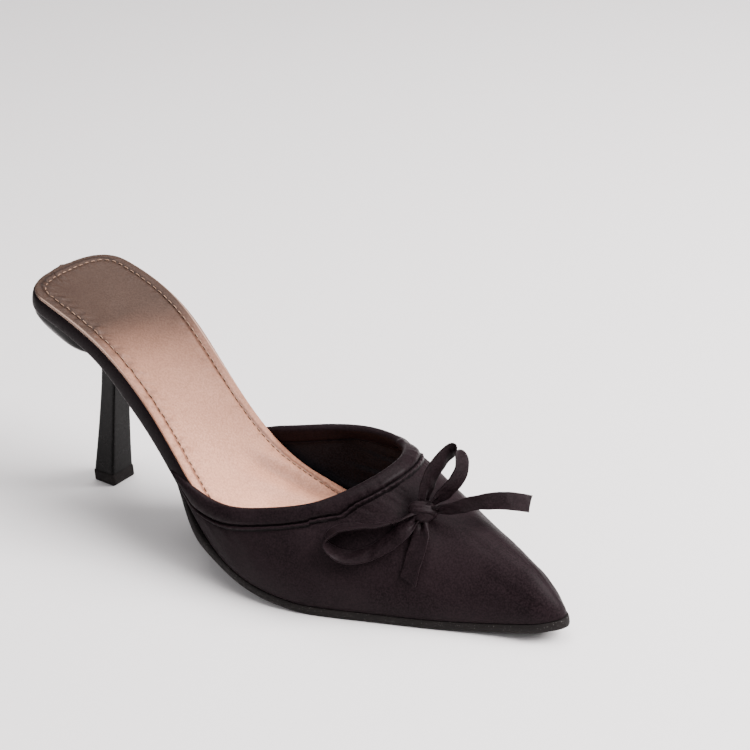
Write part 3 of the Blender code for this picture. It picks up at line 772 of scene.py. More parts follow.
class MuleColours(bpy.types.PropertyGroup):
    satin: bpy.props.FloatVectorProperty(
        name="Satin", description="Black satin in the shade", subtype='COLOR', default=(0.0040, 0.0022, 0.0028))
    satin_lit: bpy.props.FloatVectorProperty(
        name="Lit satin", description="Black satin where it catches the light", subtype='COLOR',
        default=(0.0092, 0.0056, 0.0067))
    sock: bpy.props.FloatVectorProperty(
        name="Sock", description="The satin sock", subtype='COLOR', default=(0.800, 0.395, 0.265))
    # Painted shade: the sock's colour on the seat
    seat: bpy.props.FloatVectorProperty(
        name="Seat", description="The sock on the seat", subtype='COLOR', default=(0.031, 0.0205, 0.016))
    raw_edge: bpy.props.FloatVectorProperty(
        name="Raw edge", description="The sock's cut edge", subtype='COLOR', default=(0.50, 0.34, 0.27))
    thread: bpy.props.FloatVectorProperty(
        name="Thread", description="The sock's stitches", subtype='COLOR', default=(0.34, 0.215, 0.155))
    heel: bpy.props.FloatVectorProperty(
        name="Heel", description="Polished heel", subtype='COLOR', default=(0.0028, 0.0024, 0.0025))
    rubber: bpy.props.FloatVectorProperty(
        name="Rubber", description="Outsole and lift", subtype='COLOR', default=(0.0095, 0.0078, 0.0076))


# The pieces

def spaced_end(count):
    """Shares from 0 to 1 that crowd towards the end."""
    return np.sin(np.pi / 2 * np.linspace(0, 1, count))


def upper_grid(rows, columns, sink, relief):
    """Places on the upper's face, sunk by a depth and raised by a relief."""
    around = np.linspace(0, 1, columns)
    end = 1 + UPPER_GROW / BOARD_LENGTH
    places = []
    for down in spaced_end(rows):
        start = topline(around)
        share = start + (end - start) * down
        inside = np.minimum(share, end - 0.0006)
        normal = slopes(inside, np.clip(around, 0.001, 0.999))[2]
        raised = relief(share, around, down) - sink
        places.append(upper_face(share, around) + normal * raised[:, None])
    return np.array(places)


def vamp_relief(share, around, _):
    """Folds drawn to the knot, gathers beside the binding and along the sole, slow unevenness, and the edge
    sunk under the binding."""
    place = upper_section(share, around)
    knot = upper_section(KNOT_PLACE[0], KNOT_PLACE[1])
    away = place - knot
    far = np.linalg.norm(away, axis=-1)
    along, across, _ = slopes(KNOT_PLACE[0], KNOT_PLACE[1])
    turn = np.arctan2(away @ unit(across), away @ unit(along))
    drawn = 0.00030 * bell(far, 0.006, 0.011) * ripple(turn, 1.15, 0.7)
    dimple = -0.0005 * bell(far, 0.0, 0.006)
    rim = rim_distance(upper_face(share, around))
    gathers = 0.00016 * bell(rim, 0.0100, 0.0028) * ripple(around, 0.030, 1.3)
    under_binding = -0.0007 * (1 - ease(rim, 0.0064, 0.0080))
    foot = np.minimum(around, 1 - around)
    lasting = 0.00010 * bell(foot, 0.0, 0.05) * ripple(share, 0.017, 2.2)
    slow = 0.00034 * ripple(share + 0.45 * around, 0.13, 0.4) * ripple(around - 0.3 * share, 0.21, 1.9)
    pulled = (bell(turn, 2.45, 0.42) + bell(turn, -2.3, 0.5)) * bell(far, 0.024, 0.013)
    pulled = 0.00022 * pulled * ripple(turn, 0.62, 0.3)
    fade = ease(1 - share, 0.0, 0.03) * ease(foot, 0.0, 0.02)
    return (drawn + dimple + gathers + lasting + slow + pulled) * fade + under_binding * ease(foot, 0.0, 0.03)


def lining_relief(share, around, down):
    """The lining's slack folds along the inner wall."""
    inner = ease(around, 0.72, 0.84) * (1 - ease(around, 0.985, 1.0)) * ease(down, 0.10, 0.3)
    outer = ease(0.30 - around, 0.0, 0.12) * ease(around, 0.0, 0.02) * ease(down, 0.12, 0.3)
    folds = 0.0009 * ripple(around + 0.22 * share, 0.050, 0.9) * inner
    folds = folds + 0.0003 * ripple(around - 0.18 * share, 0.045, 2.4) * outer
    return (folds - 0.0008 * inner) * ease(1 - share, 0.0, 0.05)


class MULE_OT_upper(bpy.types.Operator):
    """Builds the satin upper and its lining"""
    bl_idname = "mule.upper"
    bl_label = "Upper and lining"

    def execute(self, context):
        sizes = context.scene.mule_sizes
        shell = grid_piece("upper_satin", upper_grid(120, 221, 0.0, vamp_relief))
        thicken(shell, sizes.upper_cloth)
        hand_over(shell, MATERIALS["satin"], "upper")
        sink = sizes.upper_cloth + 0.00015
        lining = grid_piece("upper_lining", upper_grid(90, 181, sink, lining_relief))
        thicken(lining, sizes.lining_cloth)
        hand_over(lining, MATERIALS["lining"], None)
        return {'FINISHED'}


# The binding's section over the upper and back under it: share of its width, and of its puff
BINDING_OUTER = (
    (1.15, -0.40), (1.135, -0.25), (1.115, -0.08), (1.08, 0.00), (1.045, 0.10), (1.01, 0.38), (0.97, 0.55),
    (0.93, 0.55), (0.89, 0.36), (0.86, 0.08), (0.83, -0.02), (0.80, 0.02), (0.77, 0.34), (0.72, 0.66),
    (0.64, 0.86), (0.54, 0.98), (0.42, 1.0), (0.28, 0.97), (0.13, 0.86))
BINDING_INNER = (
    (0.10, 0.60), (0.30, 0.55), (0.52, 0.52), (0.74, 0.48), (0.84, 0.34), (0.88, 0.08), (0.91, 0.06),
    (0.94, 0.30), (0.98, 0.34), (1.02, 0.22), (1.05, -0.15))
# The grooves and the ridge also carry the binding's painted shade and painted highlight
BINDING_GROOVES, BINDING_RIDGE, INNER_GROOVE = ((0.825, 0.040), (1.10, 0.045)), 0.95, (0.895, 0.02)
BINDING_PITCH = 0.0026


class MULE_OT_binding(bpy.types.Operator):
    """Builds the bound edge with its stitched ridge"""
    bl_idname = "mule.binding"
    bl_label = "Topline binding"

    def execute(self, context):
        sizes = context.scene.mule_sizes
        wide, puff = sizes.binding_width, sizes.binding_puff
        wall = sizes.upper_cloth + sizes.lining_cloth + GAP
        around = np.linspace(0.004, 0.996, 300)
        share = topline(around)
        reach = 0.001
        rim = upper_face(share, around)
        tangent = unit(upper_face(topline(around + reach), around + reach)
                       - upper_face(topline(around - reach), around - reach))
        along, _, normal = slopes(share, around)
        inward = unit(np.cross(tangent, normal))
        inward = inward * np.sign((inward * along).sum(-1, keepdims=True))
        foot = np.where(around < 0.5, 0.0, 1.0)
        room = np.linalg.norm(upper_face(share, foot) - rim, axis=-1)
        narrow = np.clip(room * 0.95 / (wide + 0.0008), 0.05, 1.0)
        plump = 0.35 + 0.65 * ease(room, 0.0, 0.010)
        run = run_along(rim)
        stand = puff * plump * (1 + 0.05 * ripple(run, 0.0042, 0.8) + 0.05 * ripple(run, 0.019, 2.0))

        def on_face(distance):
            at, turned = walk(share, around, inward, distance * narrow)
            turned = np.clip(turned, 0.0, 1.0)
            return upper_face(at, turned), slopes(at, np.clip(turned, 0.002, 0.998))[2]

        rows, groove_shade = [], []
        for k, lift in BINDING_OUTER:
            face, out = on_face(wide * k)
            stitch = 1 + 0.22 * bell(k, BINDING_RIDGE, 0.05) * np.sin(run * 2 * math.pi / BINDING_PITCH)
            rows.append(face + out * (lift * stand * stitch)[:, None])
            # Painted shade in the grooves, less a painted highlight on the ridge
            groove_shade.append(sum(bell(k, *groove) for groove in BINDING_GROOVES) - 0.7 * bell(k, BINDING_RIDGE, 0.035))
        centre = rim - normal * (wall / 2 - 0.00005)
        size = (wall + puff * 1.2) / 2 * plump[:, None]
        for degrees in (70, 40, 10, -20, -50, -75):
            swing = math.radians(degrees)
            rows.append(centre - inward * math.cos(swing) * size * 0.8 + normal * math.sin(swing) * size)
            groove_shade.append(0.0)
        for k, lift in BINDING_INNER:
            face, out = on_face(0.9 * wide * k)
            rows.append(face - out * (wall + lift * stand)[:, None])
            # Painted shade in the inner groove
            groove_shade.append(bell(k, *INNER_GROOVE))
        rings = np.transpose(np.array(rows), (1, 0, 2))
        piece = grid_piece("topline_binding_satin", rings, ring=True)
        # Masks: painted shade in the grooves, and a painted highlight on the ridge
        marks = np.tile(np.array(groove_shade), len(rings))[:len(piece.data.vertices)]
        paint(piece, "groove_shade", np.clip(marks, 0, 1))
        paint(piece, "ridge", np.clip(-marks, 0, 1))
        cap_ends(piece)
        hand_over(piece, MATERIALS["binding"], "topline_binding")
        return {'FINISHED'}


def cap_ends(piece):
    """Closes the open ends of a tube and turns all its faces outwards."""
    select_only(piece)
    bpy.ops.object.mode_set(mode='EDIT')
    bpy.ops.mesh.select_mode(type='EDGE')
    bpy.ops.mesh.select_all(action='DESELECT')
    bpy.ops.mesh.select_non_manifold(extend=False)
    bpy.ops.mesh.fill_holes(sides=0)
    bpy.ops.mesh.select_all(action='SELECT')
    bpy.ops.mesh.normals_make_consistent(inside=False)
    bpy.ops.object.mode_set(mode='OBJECT')


def slab(share, low, high, bottom, top, rounding, dished=None, across=40, corner=7):
    """One closed section of a slab: flat below, dished above and rounded at its two sides."""
    inset = min(rounding, (high - low) / 2)
    thick = top - bottom
    k = np.linspace(0, 1, across)
    ring = [point(share, low + inset + (high - low - 2 * inset) * k, bottom)]
    swing = np.radians(np.linspace(-90, 90, corner + 2)[1:-1])
    ring.append(point(share, high - inset * (1 - np.cos(swing)), bottom + thick * (1 + np.sin(swing)) / 2))
    sink = dished(share, 1 - 2 * k) if dished else 0.0
    ring.append(point(share, low + inset + (high - low - 2 * inset) * (1 - k), top - sink))
    swing = swing + math.pi
    ring.append(point(share, low + inset * (1 + np.cos(swing)), bottom + thick * (1 + np.sin(swing)) / 2))
    return np.concatenate(ring)


def both_ends(start, end, count):
    """Places from start to end that crowd towards both."""
    k = (1 - np.cos(np.pi * np.linspace(0, 1, count))) / 2
    return start + (end - start) * k


class MULE_OT_board(bpy.types.Operator):
    """Builds the satin-wrapped board under the foot"""
    bl_idname = "mule.board"
    bl_label = "Wrapped board"

    def execute(self, context):
        rings = []
        for share in both_ends(0.0, 1.0, 170):
            low, high = edges(share)
            rings.append(slab(share, low, high, -shank_drop(share), board_height(share), BOARD_FRONT / 3, dish))
        piece = grid_piece("board_wrap", np.array(rings), ring=True, caps=True)
        hand_over(piece, MATERIALS["wrap"], "insole_board")
        return {'FINISHED'}


def board_run(share):
    """Distance along the board's profile."""
    fine = np.linspace(0, 1, 800)
    return np.interp(share, fine, run_along(np.stack(profile(fine), 1)))


def sock_outline(inset=0.0):
    """The sock's outline laid flat: distance along the profile and Y."""
    start = SOCK_INSET / BOARD_LENGTH
    share = both_ends(start, 1 - start, 500)
    low, high = edges(share, -SOCK_INSET)
    run = board_run(share)
    line = np.concatenate([np.stack([run, low], 1)[::-1], np.stack([run, high], 1)])
    if inset:
        ahead = unit(np.gradient(line, axis=0))
        line = line + np.stack([ahead[:, 1], -ahead[:, 0]], 1) * inset
    return line


def edge_distance(run, across, line):
    """Distance from places on the flat sock to its outline, and how far along the outline that is."""
    start, step = line[:-1], np.diff(line, axis=0)
    size = np.maximum((step**2).sum(1), 1e-14)
    length = np.concatenate([[0.0], np.cumsum(np.sqrt(size))])[:-1]
    flat = np.stack([run.ravel(), across.ravel()], 1)
    best, at = np.full(len(flat), 1e9), np.zeros(len(flat))
    for i in range(len(start)):
        t = np.clip(((flat - start[i]) @ step[i]) / size[i], 0, 1)
        gap = np.hypot(*(flat - start[i] - t[:, None] * step[i]).T)
        closer = gap < best
        best[closer], at[closer] = gap[closer], (length[i] + t * math.sqrt(size[i]))[closer]
    return best.reshape(run.shape), at.reshape(run.shape)


# The soft trough in the sock over the ball: share of the length and Y
TROUGH = ((0.385, 0.0010), (0.445, 0.0115), (0.530, 0.0212))
TROUGH_DEPTH, TROUGH_BANK = 0.0010, 0.0011


def trough_depth(run, across):
    """The trough over the ball and the bank beside it."""
    line = np.array([(board_run(share), y) for share, y in TROUGH])
    near, at = edge_distance(run, across, line)
    length = run_along(line)[-1]
    ends = ease(at, -0.002, 0.35 * length) * (1 - ease(at, 0.7 * length, length))
    return (TROUGH_BANK * bell(near, 0.0068, 0.0034) - TROUGH_DEPTH * bell(near, 0.0, 0.0042)) * (0.1 + 0.9 * ends)


def puckers(across, gap, at, share, inset):
    """The little folds drawn up by the stitches, deepest along the outer side of the seat."""
    outer = ease(-across, 0.0, 0.010)
    rear = 1 - ease(share, 0.24, 0.42)
    strength = 0.50 + 0.90 * outer * (0.30 + 0.70 * rear)
    beside = bell(gap, inset + 0.0022, 0.0028) + 0.8 * bell(gap, inset - 0.0018, 0.0014)
    wave = 0.6 * ripple(at + 0.55 * gap, 0.0044, 0.5) + 0.6 * ripple(at - 0.35 * gap, 0.0071, 1.9)
    return wave * (0.75 + 0.35 * ripple(at, 0.021, 0.2)) * beside * strength


# How the sock's painted shade darkens it towards the seat and along its inner side: share of the length, tone at
# the outer edge and at the inner
SEAT_SHADE_TONES = ((0.00, 0.97, 0.97), (0.16, 0.97, 0.97), (0.185, 0.90, 0.97), (0.215, 0.75, 0.93), (0.25, 0.60, 0.80),
         (0.32, 0.45, 0.62), (0.40, 0.17, 0.48), (0.48, 0.0, 0.36), (0.60, 0.0, 0.10), (1.00, 0.3, 0.3))


def painted_seat_shade(share, across):
    """How much of the painted seat shade the sock has at a place."""
    side = ease(across, -0.022, 0.022)
    at, outer, inner = zip(*SEAT_SHADE_TONES)
    return np.interp(share, at, outer) * (1 - side) + np.interp(share, at, inner) * side


def sock_relief(run, across, gap, at, share, inset):
    """Padding, the sunk stitch line, puckers beside it and the soft trough over the ball."""
    pad = 0.00018 * ease(gap, 0.0, 0.0030)
    sunk = -0.00042 * bell(gap, inset, 0.00085)
    pucker = 0.00050 * puckers(across, gap, at, share, inset) * ease(gap, 0.0, 0.0016)
    soft = 0.00012 * ripple(run + 0.4 * across, 0.031, 1.1) * ripple(across, 0.024, 0.3)
    return pad + sunk + pucker + soft * ease(gap, 0.002, 0.008) + trough_depth(run, across)


class MULE_OT_sock(bpy.types.Operator):
    """Builds the satin sock and its stitches"""
    bl_idname = "mule.sock"
    bl_label = "Sock and stitches"

    def execute(self, context):
        sizes = context.scene.mule_sizes
        start = SOCK_INSET / BOARD_LENGTH
        shares = np.concatenate([both_ends(start, 0.10, 60)[:-1], np.linspace(0.10, 0.72, 250)[:-1],
                                 0.72 + (1 - start - 0.72) * spaced_end(40)])
        line = sock_outline()
        side = np.sin(np.pi / 2 * np.linspace(-1, 1, 99))
        share = np.repeat(shares[:, None], len(side), 1)
        low, high = edges(shares, -SOCK_INSET)
        across = (low + high)[:, None] / 2 + (high - low)[:, None] / 2 * side[None, :]
        run = board_run(share)
        gap, at = edge_distance(run, across, line)
        relief = sock_relief(run, across, gap, at, share, sizes.stitch_inset)
        edge = -0.0003 * (1 - ease(gap, 0.0, 0.0007))
        height = board_height(share) + SOCK_TOP - dish(share, side[None, :]) + relief + edge
        piece = grid_piece("sock_cloth", point(share, across, height))
        self.masks(piece, sizes.stitch_inset, line)
        thicken(piece, sizes.sock_cloth)
        hand_over(piece, MATERIALS["sock"], "sock")
        self.stitches(sizes, line)
        return {'FINISHED'}

    def masks(self, piece, inset, line):
        """Where the seat's painted shade lies, the cut edge shows, the stitches sink and the folds lie, the last
        two with painted shade.
        """
        places = points_of(piece)
        share, across = np.clip((places[:, 0] + SEAT_REACH) / BOARD_LENGTH, 0, 1), places[:, 1]
        gap, at = edge_distance(board_run(share), across, line)
        crease = np.clip(-trough_depth(board_run(share), across) / TROUGH_DEPTH, 0, 1)
        # Painted shade, deepest on the seat
        paint(piece, "seat", painted_seat_shade(share, across))
        paint(piece, "raw_edge", 0.5 * (1 - ease(gap, 0.0001, 0.0006)))
        # Painted shade along the sunk stitch line
        paint(piece, "stitched", 0.75 * bell(gap, inset, 0.0006))
        # Painted shade in the puckers and along the trough's crease
        paint(piece, "folds", np.clip(-0.55 * puckers(across, gap, at, share, inset), 0, 0.5) + 0.36 * crease)

    def stitches(self, sizes, line):
        """One thread stitch, copied along the inset line."""
        inset = sock_outline(sizes.stitch_inset)
        inset = inset[inset[:, 0] < board_run(0.78)]
        length = run_along(inset)
        fine = np.linspace(0, 1, 800)
        runs = board_run(fine)
        first = None
        made = []
        for begin in np.arange(0.002, length[-1] - 0.003, sizes.stitch_pitch):
            along = begin + sizes.stitch_pitch * 0.68 * np.linspace(0, 1, 6)
            run = np.interp(along, length, inset[:, 0])
            across = np.interp(along, length, inset[:, 1])
            share = np.interp(run, runs, fine)
            low, high = edges(share, -SOCK_INSET)
            side = (across - (low + high) / 2) / np.maximum((high - low) / 2, 1e-6)
            gap, at = edge_distance(run, across, line)
            base = (board_height(share) + SOCK_TOP - dish(share, side)
                    + sock_relief(run, across, gap, at, share, sizes.stitch_inset))
            swell = np.sin(np.pi * np.linspace(0.06, 0.94, 6))**0.5
            centre = point(share, across, base + 0.00012 + 0.00026 * swell)
            ahead = unit(np.gradient(centre, axis=0))
            up = unit(point(share, across, base + 0.001) - point(share, across, base))
            beside = unit(np.cross(ahead, up))
            swing = 2 * math.pi * np.arange(6)[None, :, None] / 6
            ring = centre[:, None] + (beside[:, None] * np.cos(swing) + up[:, None] * np.sin(swing) * 0.8) * (
                sizes.thread_radius * swell)[:, None, None]
            if first is None:
                first = grid_piece("sock_stitches", ring, ring=True, caps=True)
                made.append(first)
                continue
            copy = first.copy()
            copy.data = first.data.copy()
            bpy.context.scene.collection.objects.link(copy)
            copy.data.vertices.foreach_set("co", ring.reshape(-1).astype(np.float32))
            copy.data.update()
            made.append(copy)
        deselect()
        for piece in made:
            piece.select_set(True)
        bpy.context.view_layer.objects.active = first
        bpy.ops.object.join()
        places = points_of(first)
        # Painted seat shade on the thread, at less than half the sock's
        paint(first, "seat", 0.45 * painted_seat_shade((places[:, 0] + SEAT_REACH) / BOARD_LENGTH, places[:, 1]))
        hand_over(first, MATERIALS["thread"], None)


class MULE_OT_outsole(bpy.types.Operator):
    """Builds the outsole"""
    bl_idname = "mule.outsole"
    bl_label = "Outsole"

    def execute(self, context):
        start = (SEAT_REACH + HEEL_LEAN + CUP_FRONT + GAP) / BOARD_LENGTH
        end = 1 + SOLE_GROW / BOARD_LENGTH
        rings = []
        for share in np.concatenate([np.linspace(start, TREAD_END, 110)[:-1],
                                     TREAD_END + (end - TREAD_END) * spaced_end(60)]):
            wide = ease(share, *SOLE_WIDENS)
            begun = ease(share, start - 0.02, start + SHANK_BEGINS)
            drawn = (SOLE_GROW + SHANK_INSET) * (1 - wide) + SHANK_NARROWS * (1 - begun)
            low, high = edges(share, SOLE_GROW)
            thick = (SHANK_THICKNESS + (SOLE_THICKNESS - SHANK_THICKNESS) * wide) * (0.35 + 0.65 * begun)
            top = -GAP - shank_drop(share)
            rings.append(slab(share, low + drawn, high - drawn, top - thick, top, SOLE_THICKNESS / 5))
        piece = grid_piece("outsole_rubber", np.array(rings), ring=True, caps=True)
        smooth_by_angle(piece, 50)
        hand_over(piece, MATERIALS["sole"], "outsole")
        return {'FINISHED'}


def heel_ring(width, depth, height, centre=0.0, corner=CORNER_ROUND, arc=7, flat=10):
    """A rounded oblong around the heel's axis at one height."""
    ring = []
    for quarter in range(4):
        sx = 1 if quarter in (0, 3) else -1
        sy = 1 if quarter in (0, 1) else -1
        for k in range(arc):
            angle = math.radians(90 * quarter + 90 * k / (arc - 1))
            ring.append((centre + sx * (depth / 2 - corner) + corner * math.cos(angle),
                         sy * (width / 2 - corner) + corner * math.sin(angle), height))
        far = (depth if quarter % 2 == 0 else width) / 2 - corner
        for k in np.linspace(1, -1, flat + 2)[1:-1]:
            if quarter % 2 == 0:
                ring.append((centre + sx * far * k, sy * width / 2, height))
            else:
                ring.append((centre + sx * depth / 2, sy * far * k, height))
    return np.array(ring)


def seat_place(angle, inset):
    """Where a ray from the column's top meets the cup's plan, on the board's underside."""
    front = HEEL_LEAN + CUP_FRONT
    dx, dy = math.cos(angle), math.sin(angle)
    near, far = 0.0, 0.06
    for _ in range(30):
        middle = (near + far) / 2
        x, y = HEEL_LEAN + dx * middle, dy * middle
        share = (x + SEAT_REACH) / BOARD_LENGTH
        low, high = edges(share, -inset)
        forward = min(max((x - CUP_ROUNDS) / (front - CUP_ROUNDS), 0.0), 1.0)
        room = (high - low) / 2 * (1 - forward**CUP_SQUARE)**(1 / CUP_SQUARE)
        inside = x < front and share > inset / BOARD_LENGTH and abs(y - (low + high) / 2) < room
        near, far = (middle, far) if inside else (near, middle)
    return HEEL_LEAN + dx * near, dy * near


def lean(height):
    """How far forward the heel's axis has come at a height."""
    return HEEL_LEAN * (height - LIFT_HEIGHT) / (COLUMN_TOP - LIFT_HEIGHT)


class MULE_OT_heel(bpy.types.Operator):
    """Builds the polished heel with its cup, and the lift under it"""
    bl_idname = "mule.heel"
    bl_label = "Heel and lift"

    def execute(self, context):
        base = LIFT_HEIGHT + GAP
        rings = []
        for k in np.linspace(0, 1, 22):
            height = base + (NECK_HEIGHT - base) * k
            swell = (1 - k)**TIP_SWELL
            width = NECK_WIDTH + (TIP_WIDTH - NECK_WIDTH) * swell
            depth = NECK_DEPTH + (TIP_DEPTH - NECK_DEPTH) * swell
            rings.append(heel_ring(width, depth, height, lean(height)))
        for height in np.linspace(NECK_HEIGHT, COLUMN_TOP, 6)[1:]:
            rings.append(heel_ring(NECK_WIDTH, NECK_DEPTH, height, lean(height)))
        top = rings[-1]
        angle = np.arctan2(top[:, 1], top[:, 0] - HEEL_LEAN)
        out = np.stack([np.cos(angle), np.sin(angle), np.zeros_like(angle)], 1)
        up = np.array((0.0, 0.0, 1.0))
        met = np.array([seat_place(a, CUP_INSET) for a in angle])
        share = (met[:, 0] + SEAT_REACH) / BOARD_LENGTH
        rim = point(share, met[:, 1], -GAP)
        lip = point(share, met[:, 1], -GAP - CUP_LIP)
        flow_out, flow_up = out * CUP_FILLET * 0.6, up * CUP_FILLET * 1.4
        root = top + flow_out + flow_up
        # The bowl from the column's flare to the lip, flatter at the back than at the sides
        rise = up * (lip - root)[:, 2:]
        across = lip - root - rise
        back = np.clip(-out[:, :1], 0.0, 1.0)**1.5
        first = root + across * (0.50 - 0.25 * back)
        second = root + across * (1.0 - 0.28 * back) + rise * (0.36 + 0.26 * back)
        for k in np.linspace(0, 1, 8)[1:-1]:
            swing = math.pi / 2 * k
            rings.append(top + flow_out * (1 - math.cos(swing)) + flow_up * math.sin(swing))
        for k in np.linspace(0, 1, 26):
            rings.append((1 - k)**3 * root + 3 * k * (1 - k)**2 * first + 3 * k * k * (1 - k) * second + k**3 * lip)
        rings.append(lip * 0.5 + rim * 0.5)
        rings.append(rim)
        centre_share = (SEAT_REACH + HEEL_LEAN) / BOARD_LENGTH
        for k in (0.97, 0.75, 0.5, 0.25):
            rings.append(point(centre_share + (share - centre_share) * k, met[:, 1] * k, -GAP))
        piece = grid_piece("heel_polished", np.array(rings), ring=True, caps=True)
        smooth_by_angle(piece, 35)
        hand_over(piece, MATERIALS["gloss"], "heel")
        self.lift()
        return {'FINISHED'}

    def lift(self):
        """The rubber lift under the heel's tip."""
        width, depth = TIP_WIDTH + 2 * LIFT_STEP, TIP_DEPTH + 2 * LIFT_STEP
        soft = 0.0004
        rings = [heel_ring(width - 2 * soft, depth - 2 * soft, 0.0, corner=CORNER_ROUND * 0.7),
                 heel_ring(width, depth, soft), heel_ring(width, depth, LIFT_HEIGHT * 0.5),
                 heel_ring(width, depth, LIFT_HEIGHT - soft),
                 heel_ring(width - 2 * soft, depth - 2 * soft, LIFT_HEIGHT, corner=CORNER_ROUND * 0.7)]
        piece = grid_piece("heel_lift_rubber", np.array(rings), ring=True, caps=True)
        smooth_by_angle(piece, 50)
        hand_over(piece, MATERIALS["lift"], "top_lift")


def ribbon(name, node, start_width, end_width, gathered, rows, cloth):
    """A ribbon along its middle line, gathered into folds where it goes into the knot."""
    places = np.array([bow_point(*row) for row in rows])
    run = run_along(places)
    lines = [spline(run, places[:, axis]) for axis in range(3)]
    at = np.linspace(0, run[-1], 90)
    path = np.stack([line(at) for line in lines], 1)
    heading = unit(np.gradient(path, axis=0))
    k = (at / run[-1])[:, None]
    wide = (1 - k) * np.array(start_width) + k * np.array(end_width)
    wide = unit(wide - heading * (wide * heading).sum(1, keepdims=True))
    thick = np.cross(wide, heading)
    near = np.zeros(len(at))
    for is_gathered, away in zip(gathered, (at, run[-1] - at)):
        near = np.maximum(near, is_gathered * (1 - ease(away, 0.001, GATHER_REACH)))
    slanted = (1 - gathered[1]) * END_SLANT * ease(at, run[-1] - 0.006, run[-1])
    grid = []
    for lane in np.linspace(-1, 1, 17):
        half = RIBBON_WIDTH / 2 * (1 - 0.42 * near)
        fold = 0.00085 * near * math.cos(math.pi * 1.5 * lane + 0.6)
        bow_out = (0.00030 * (1 - near) * (1 - lane**2) + 0.00022 * ripple(at, 0.0085, 1.0 + 1.3 * lane)
                   + 0.00018 * ripple(at + 0.002 * lane, 0.019, 2.2))
        grid.append(path + wide * (half * lane)[:, None] + thick * (fold + bow_out)[:, None]
                    + heading * (slanted * lane)[:, None])
    piece = grid_piece(name, np.transpose(np.array(grid), (1, 0, 2)))
    thicken(piece, cloth, 0.0)
    hand_over(piece, MATERIALS["ribbon"], node)


class MULE_OT_bow(bpy.types.Operator):
    """Builds the ribbon bow: a wrapped knot, two loops and two tails"""
    bl_idname = "mule.bow"
    bl_label = "Ribbon bow"

    def execute(self, context):
        sizes = context.scene.mule_sizes
        for name, node, start_width, end_width, gathered, rows in RIBBONS:
            ribbon(name, node, start_width, end_width, gathered, rows, sizes.ribbon_cloth)
        self.knot()
        return {'FINISHED'}

    def knot(self):
        """The knot: a ball squeezed into wraps of ribbon and seated on the vamp."""
        share, around, _ = KNOT_PLACE
        along, _, normal = slopes(share, around)
        along = unit(along)
        side = np.cross(normal, along)
        centre = bow_point(*KNOT_PLACE)
        deselect()
        bpy.ops.mesh.primitive_uv_sphere_add(segments=96, ring_count=56, radius=1.0)
        piece = bpy.context.object
        piece.name = piece.data.name = "ribbon_knot"
        ball = points_of(piece)
        wrap = np.arctan2(ball[:, 2], ball[:, 0] * 0.8 + ball[:, 1] * 0.6)
        lane = -0.6 * ball[:, 0] + 0.8 * ball[:, 1]
        band = ease(0.50 - np.abs(lane), 0.0, 0.10)
        crease = np.abs(np.sin(9.0 * lane + 0.8 * np.sin(wrap)))**0.6
        size = 0.86 + 0.17 * band + 0.055 * crease * (0.4 + 0.6 * band) + 0.03 * np.sin(3 * wrap + 1.0)
        half = np.array((KNOT_LENGTH, KNOT_WIDTH, KNOT_HEIGHT)) / 2 * KNOT_PUFF
        local = ball * size[:, None] * half
        co = centre + local[:, :1] * along + local[:, 1:2] * side + local[:, 2:] * normal
        piece.data.vertices.foreach_set("co", co.reshape(-1).astype(np.float32))
        piece.data.update()
        bpy.ops.object.shade_smooth()
        hand_over(piece, MATERIALS["ribbon"], "bow_knot")


# The stage, with the camera read off the photograph: focal length in pixels of its width, distance to the
# target, and angles in degrees
FOCAL, DISTANCE, TURN, RAISE, ROLL = 1671.6, 0.7304, 38.876, 26.56, -3.155
TARGET = (0.073945, 0.090799, 0.030)
IMAGE_WIDTH = 750
# Each light: name, place, size, power in watts and colour, all turned to one point of the shoe
LIGHTS = (
    ("key", (1.05, 0.40, 0.95), 0.9, 62.0, (1.0, 0.975, 0.975)),
    ("top", (-0.1, 0.5, 1.9), 1.8, 46.0, (1.0, 0.98, 0.975)),
    ("fill", (-0.3, -1.5, 0.9), 1.4, 7.0, (0.95, 0.97, 1.0)),
)
LIT_POINT = (0.09, 0.0, 0.03)


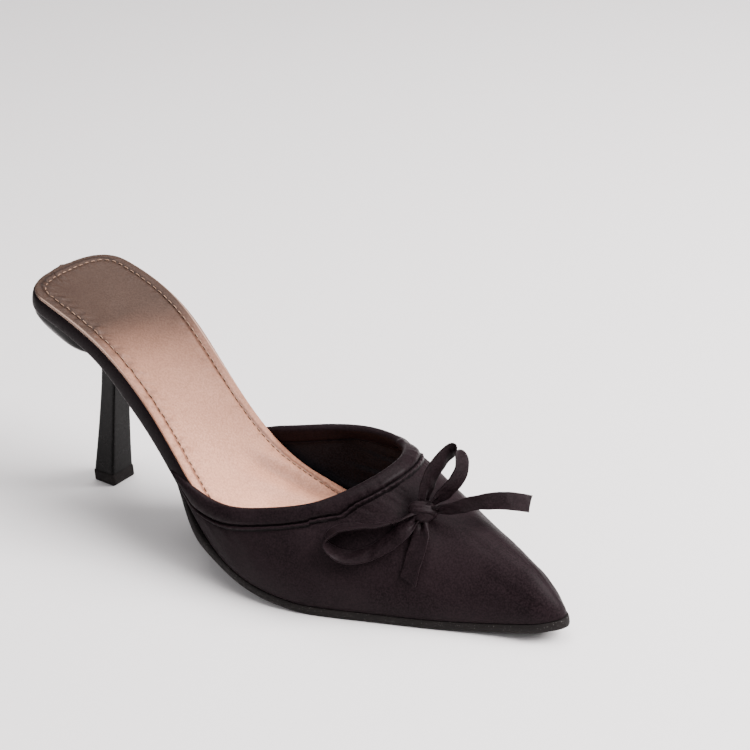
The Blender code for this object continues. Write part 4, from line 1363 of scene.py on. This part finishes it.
class MULE_OT_stage(bpy.types.Operator):
    """Sets the pale floor, the soft light and the camera"""
    bl_idname = "mule.stage"
    bl_label = "Floor, light and camera"

    def execute(self, context):
        self.camera()
        self.floor()
        self.lights()
        return {'FINISHED'}

    def camera(self):
        turn, up, roll = (math.radians(v) for v in (TURN, RAISE, ROLL))
        back = Vector((math.sin(turn) * math.cos(up), -math.cos(turn) * math.cos(up), math.sin(up)))
        right = (-back).cross(Vector((0, 0, 1))).normalized()
        above = right.cross(-back)
        across = math.cos(roll) * right + math.sin(roll) * above
        top = -math.sin(roll) * right + math.cos(roll) * above
        data = bpy.data.cameras.new("camera")
        data.sensor_width = 36.0
        data.lens = data.sensor_width * FOCAL / IMAGE_WIDTH
        camera = bpy.data.objects.new("camera", data)
        bpy.context.scene.collection.objects.link(camera)
        camera.matrix_world = Matrix.Translation(Vector(TARGET) + back * DISTANCE) @ Matrix(
            (across, top, back)).transposed().to_4x4()
        data.clip_start, data.clip_end = 0.01, 50.0
        bpy.context.scene.camera = camera

    def floor(self):
        deselect()
        bpy.ops.mesh.primitive_grid_add(x_subdivisions=8, y_subdivisions=8, size=12.0)
        floor = bpy.context.object
        floor.name = "floor"
        material, tree, shader, place = new_material("pale_floor", Specular_IOR_Level=0.3)
        speckle = noise_node(tree, place, 260.0, 4.0, 0.6)
        cloud = noise_node(tree, place, 1.6, 2.0, 0.5)
        base = mix_colour(tree, cloud.outputs[0], (0.90, 0.875, 0.875), (0.86, 0.835, 0.835))
        base = stain(tree, base, speckle.outputs[0], 0.06, (0.62, 0.60, 0.59))
        link(tree, base, shader.inputs["Base Color"])
        link(tree, range_node(tree, speckle.outputs[0], 0.2, 0.8, 0.42, 0.55), shader.inputs["Roughness"])
        bump(tree, shader, speckle.outputs[0], 0.04, 0.0005)
        floor.data.materials.append(material)

    def lights(self):
        scene = bpy.context.scene
        world = scene.world or bpy.data.worlds.new("studio")
        scene.world = world
        world.use_nodes = True
        ground = world.node_tree.nodes.get("Background") or world.node_tree.nodes.new('ShaderNodeBackground')
        ground.inputs[0].default_value = (1.0, 0.965, 0.975, 1.0)
        ground.inputs[1].default_value = 0.33
        for name, place, size, power, colour in LIGHTS:
            data = bpy.data.lights.new(name, 'AREA')
            data.shape = 'SQUARE'
            data.size, data.energy, data.color = size, power, colour
            light = bpy.data.objects.new(name, data)
            scene.collection.objects.link(light)
            light.location = place
            light.rotation_euler = (Vector(place) - Vector(LIT_POINT)).to_track_quat('Z', 'Y').to_euler()


OPERATORS = (MULE_OT_upper, MULE_OT_binding, MULE_OT_board, MULE_OT_sock, MULE_OT_outsole, MULE_OT_heel,
             MULE_OT_bow, MULE_OT_stage)


class MULE_PT_panel(bpy.types.Panel):
    """Lists the mule's pieces"""
    bl_label = "Satin mule"
    bl_idname = "MULE_PT_panel"
    bl_space_type = 'VIEW_3D'
    bl_region_type = 'UI'
    bl_category = "Mule"

    def draw(self, context):
        for group in (context.scene.mule_sizes, context.scene.mule_colours):
            for key in group.bl_rna.properties.keys():
                if key not in ("rna_type", "name"):
                    self.layout.prop(group, key)
        for operator in OPERATORS:
            self.layout.operator(operator.bl_idname)


CLASSES = (MuleSizes, MuleColours, *OPERATORS, MULE_PT_panel)


def register():
    for cls in CLASSES:
        bpy.utils.register_class(cls)
    bpy.types.Scene.mule_sizes = bpy.props.PointerProperty(type=MuleSizes)
    bpy.types.Scene.mule_colours = bpy.props.PointerProperty(type=MuleColours)


def unregister():
    del bpy.types.Scene.mule_colours
    del bpy.types.Scene.mule_sizes
    for cls in reversed(CLASSES):
        bpy.utils.unregister_class(cls)


def main():
    register()
    make_materials(bpy.context.scene.mule_colours)
    bpy.ops.mule.upper()
    bpy.ops.mule.binding()
    bpy.ops.mule.board()
    bpy.ops.mule.sock()
    bpy.ops.mule.outsole()
    bpy.ops.mule.heel()
    bpy.ops.mule.bow()
    bpy.ops.mule.stage()


if __name__ == "__main__":
    main()
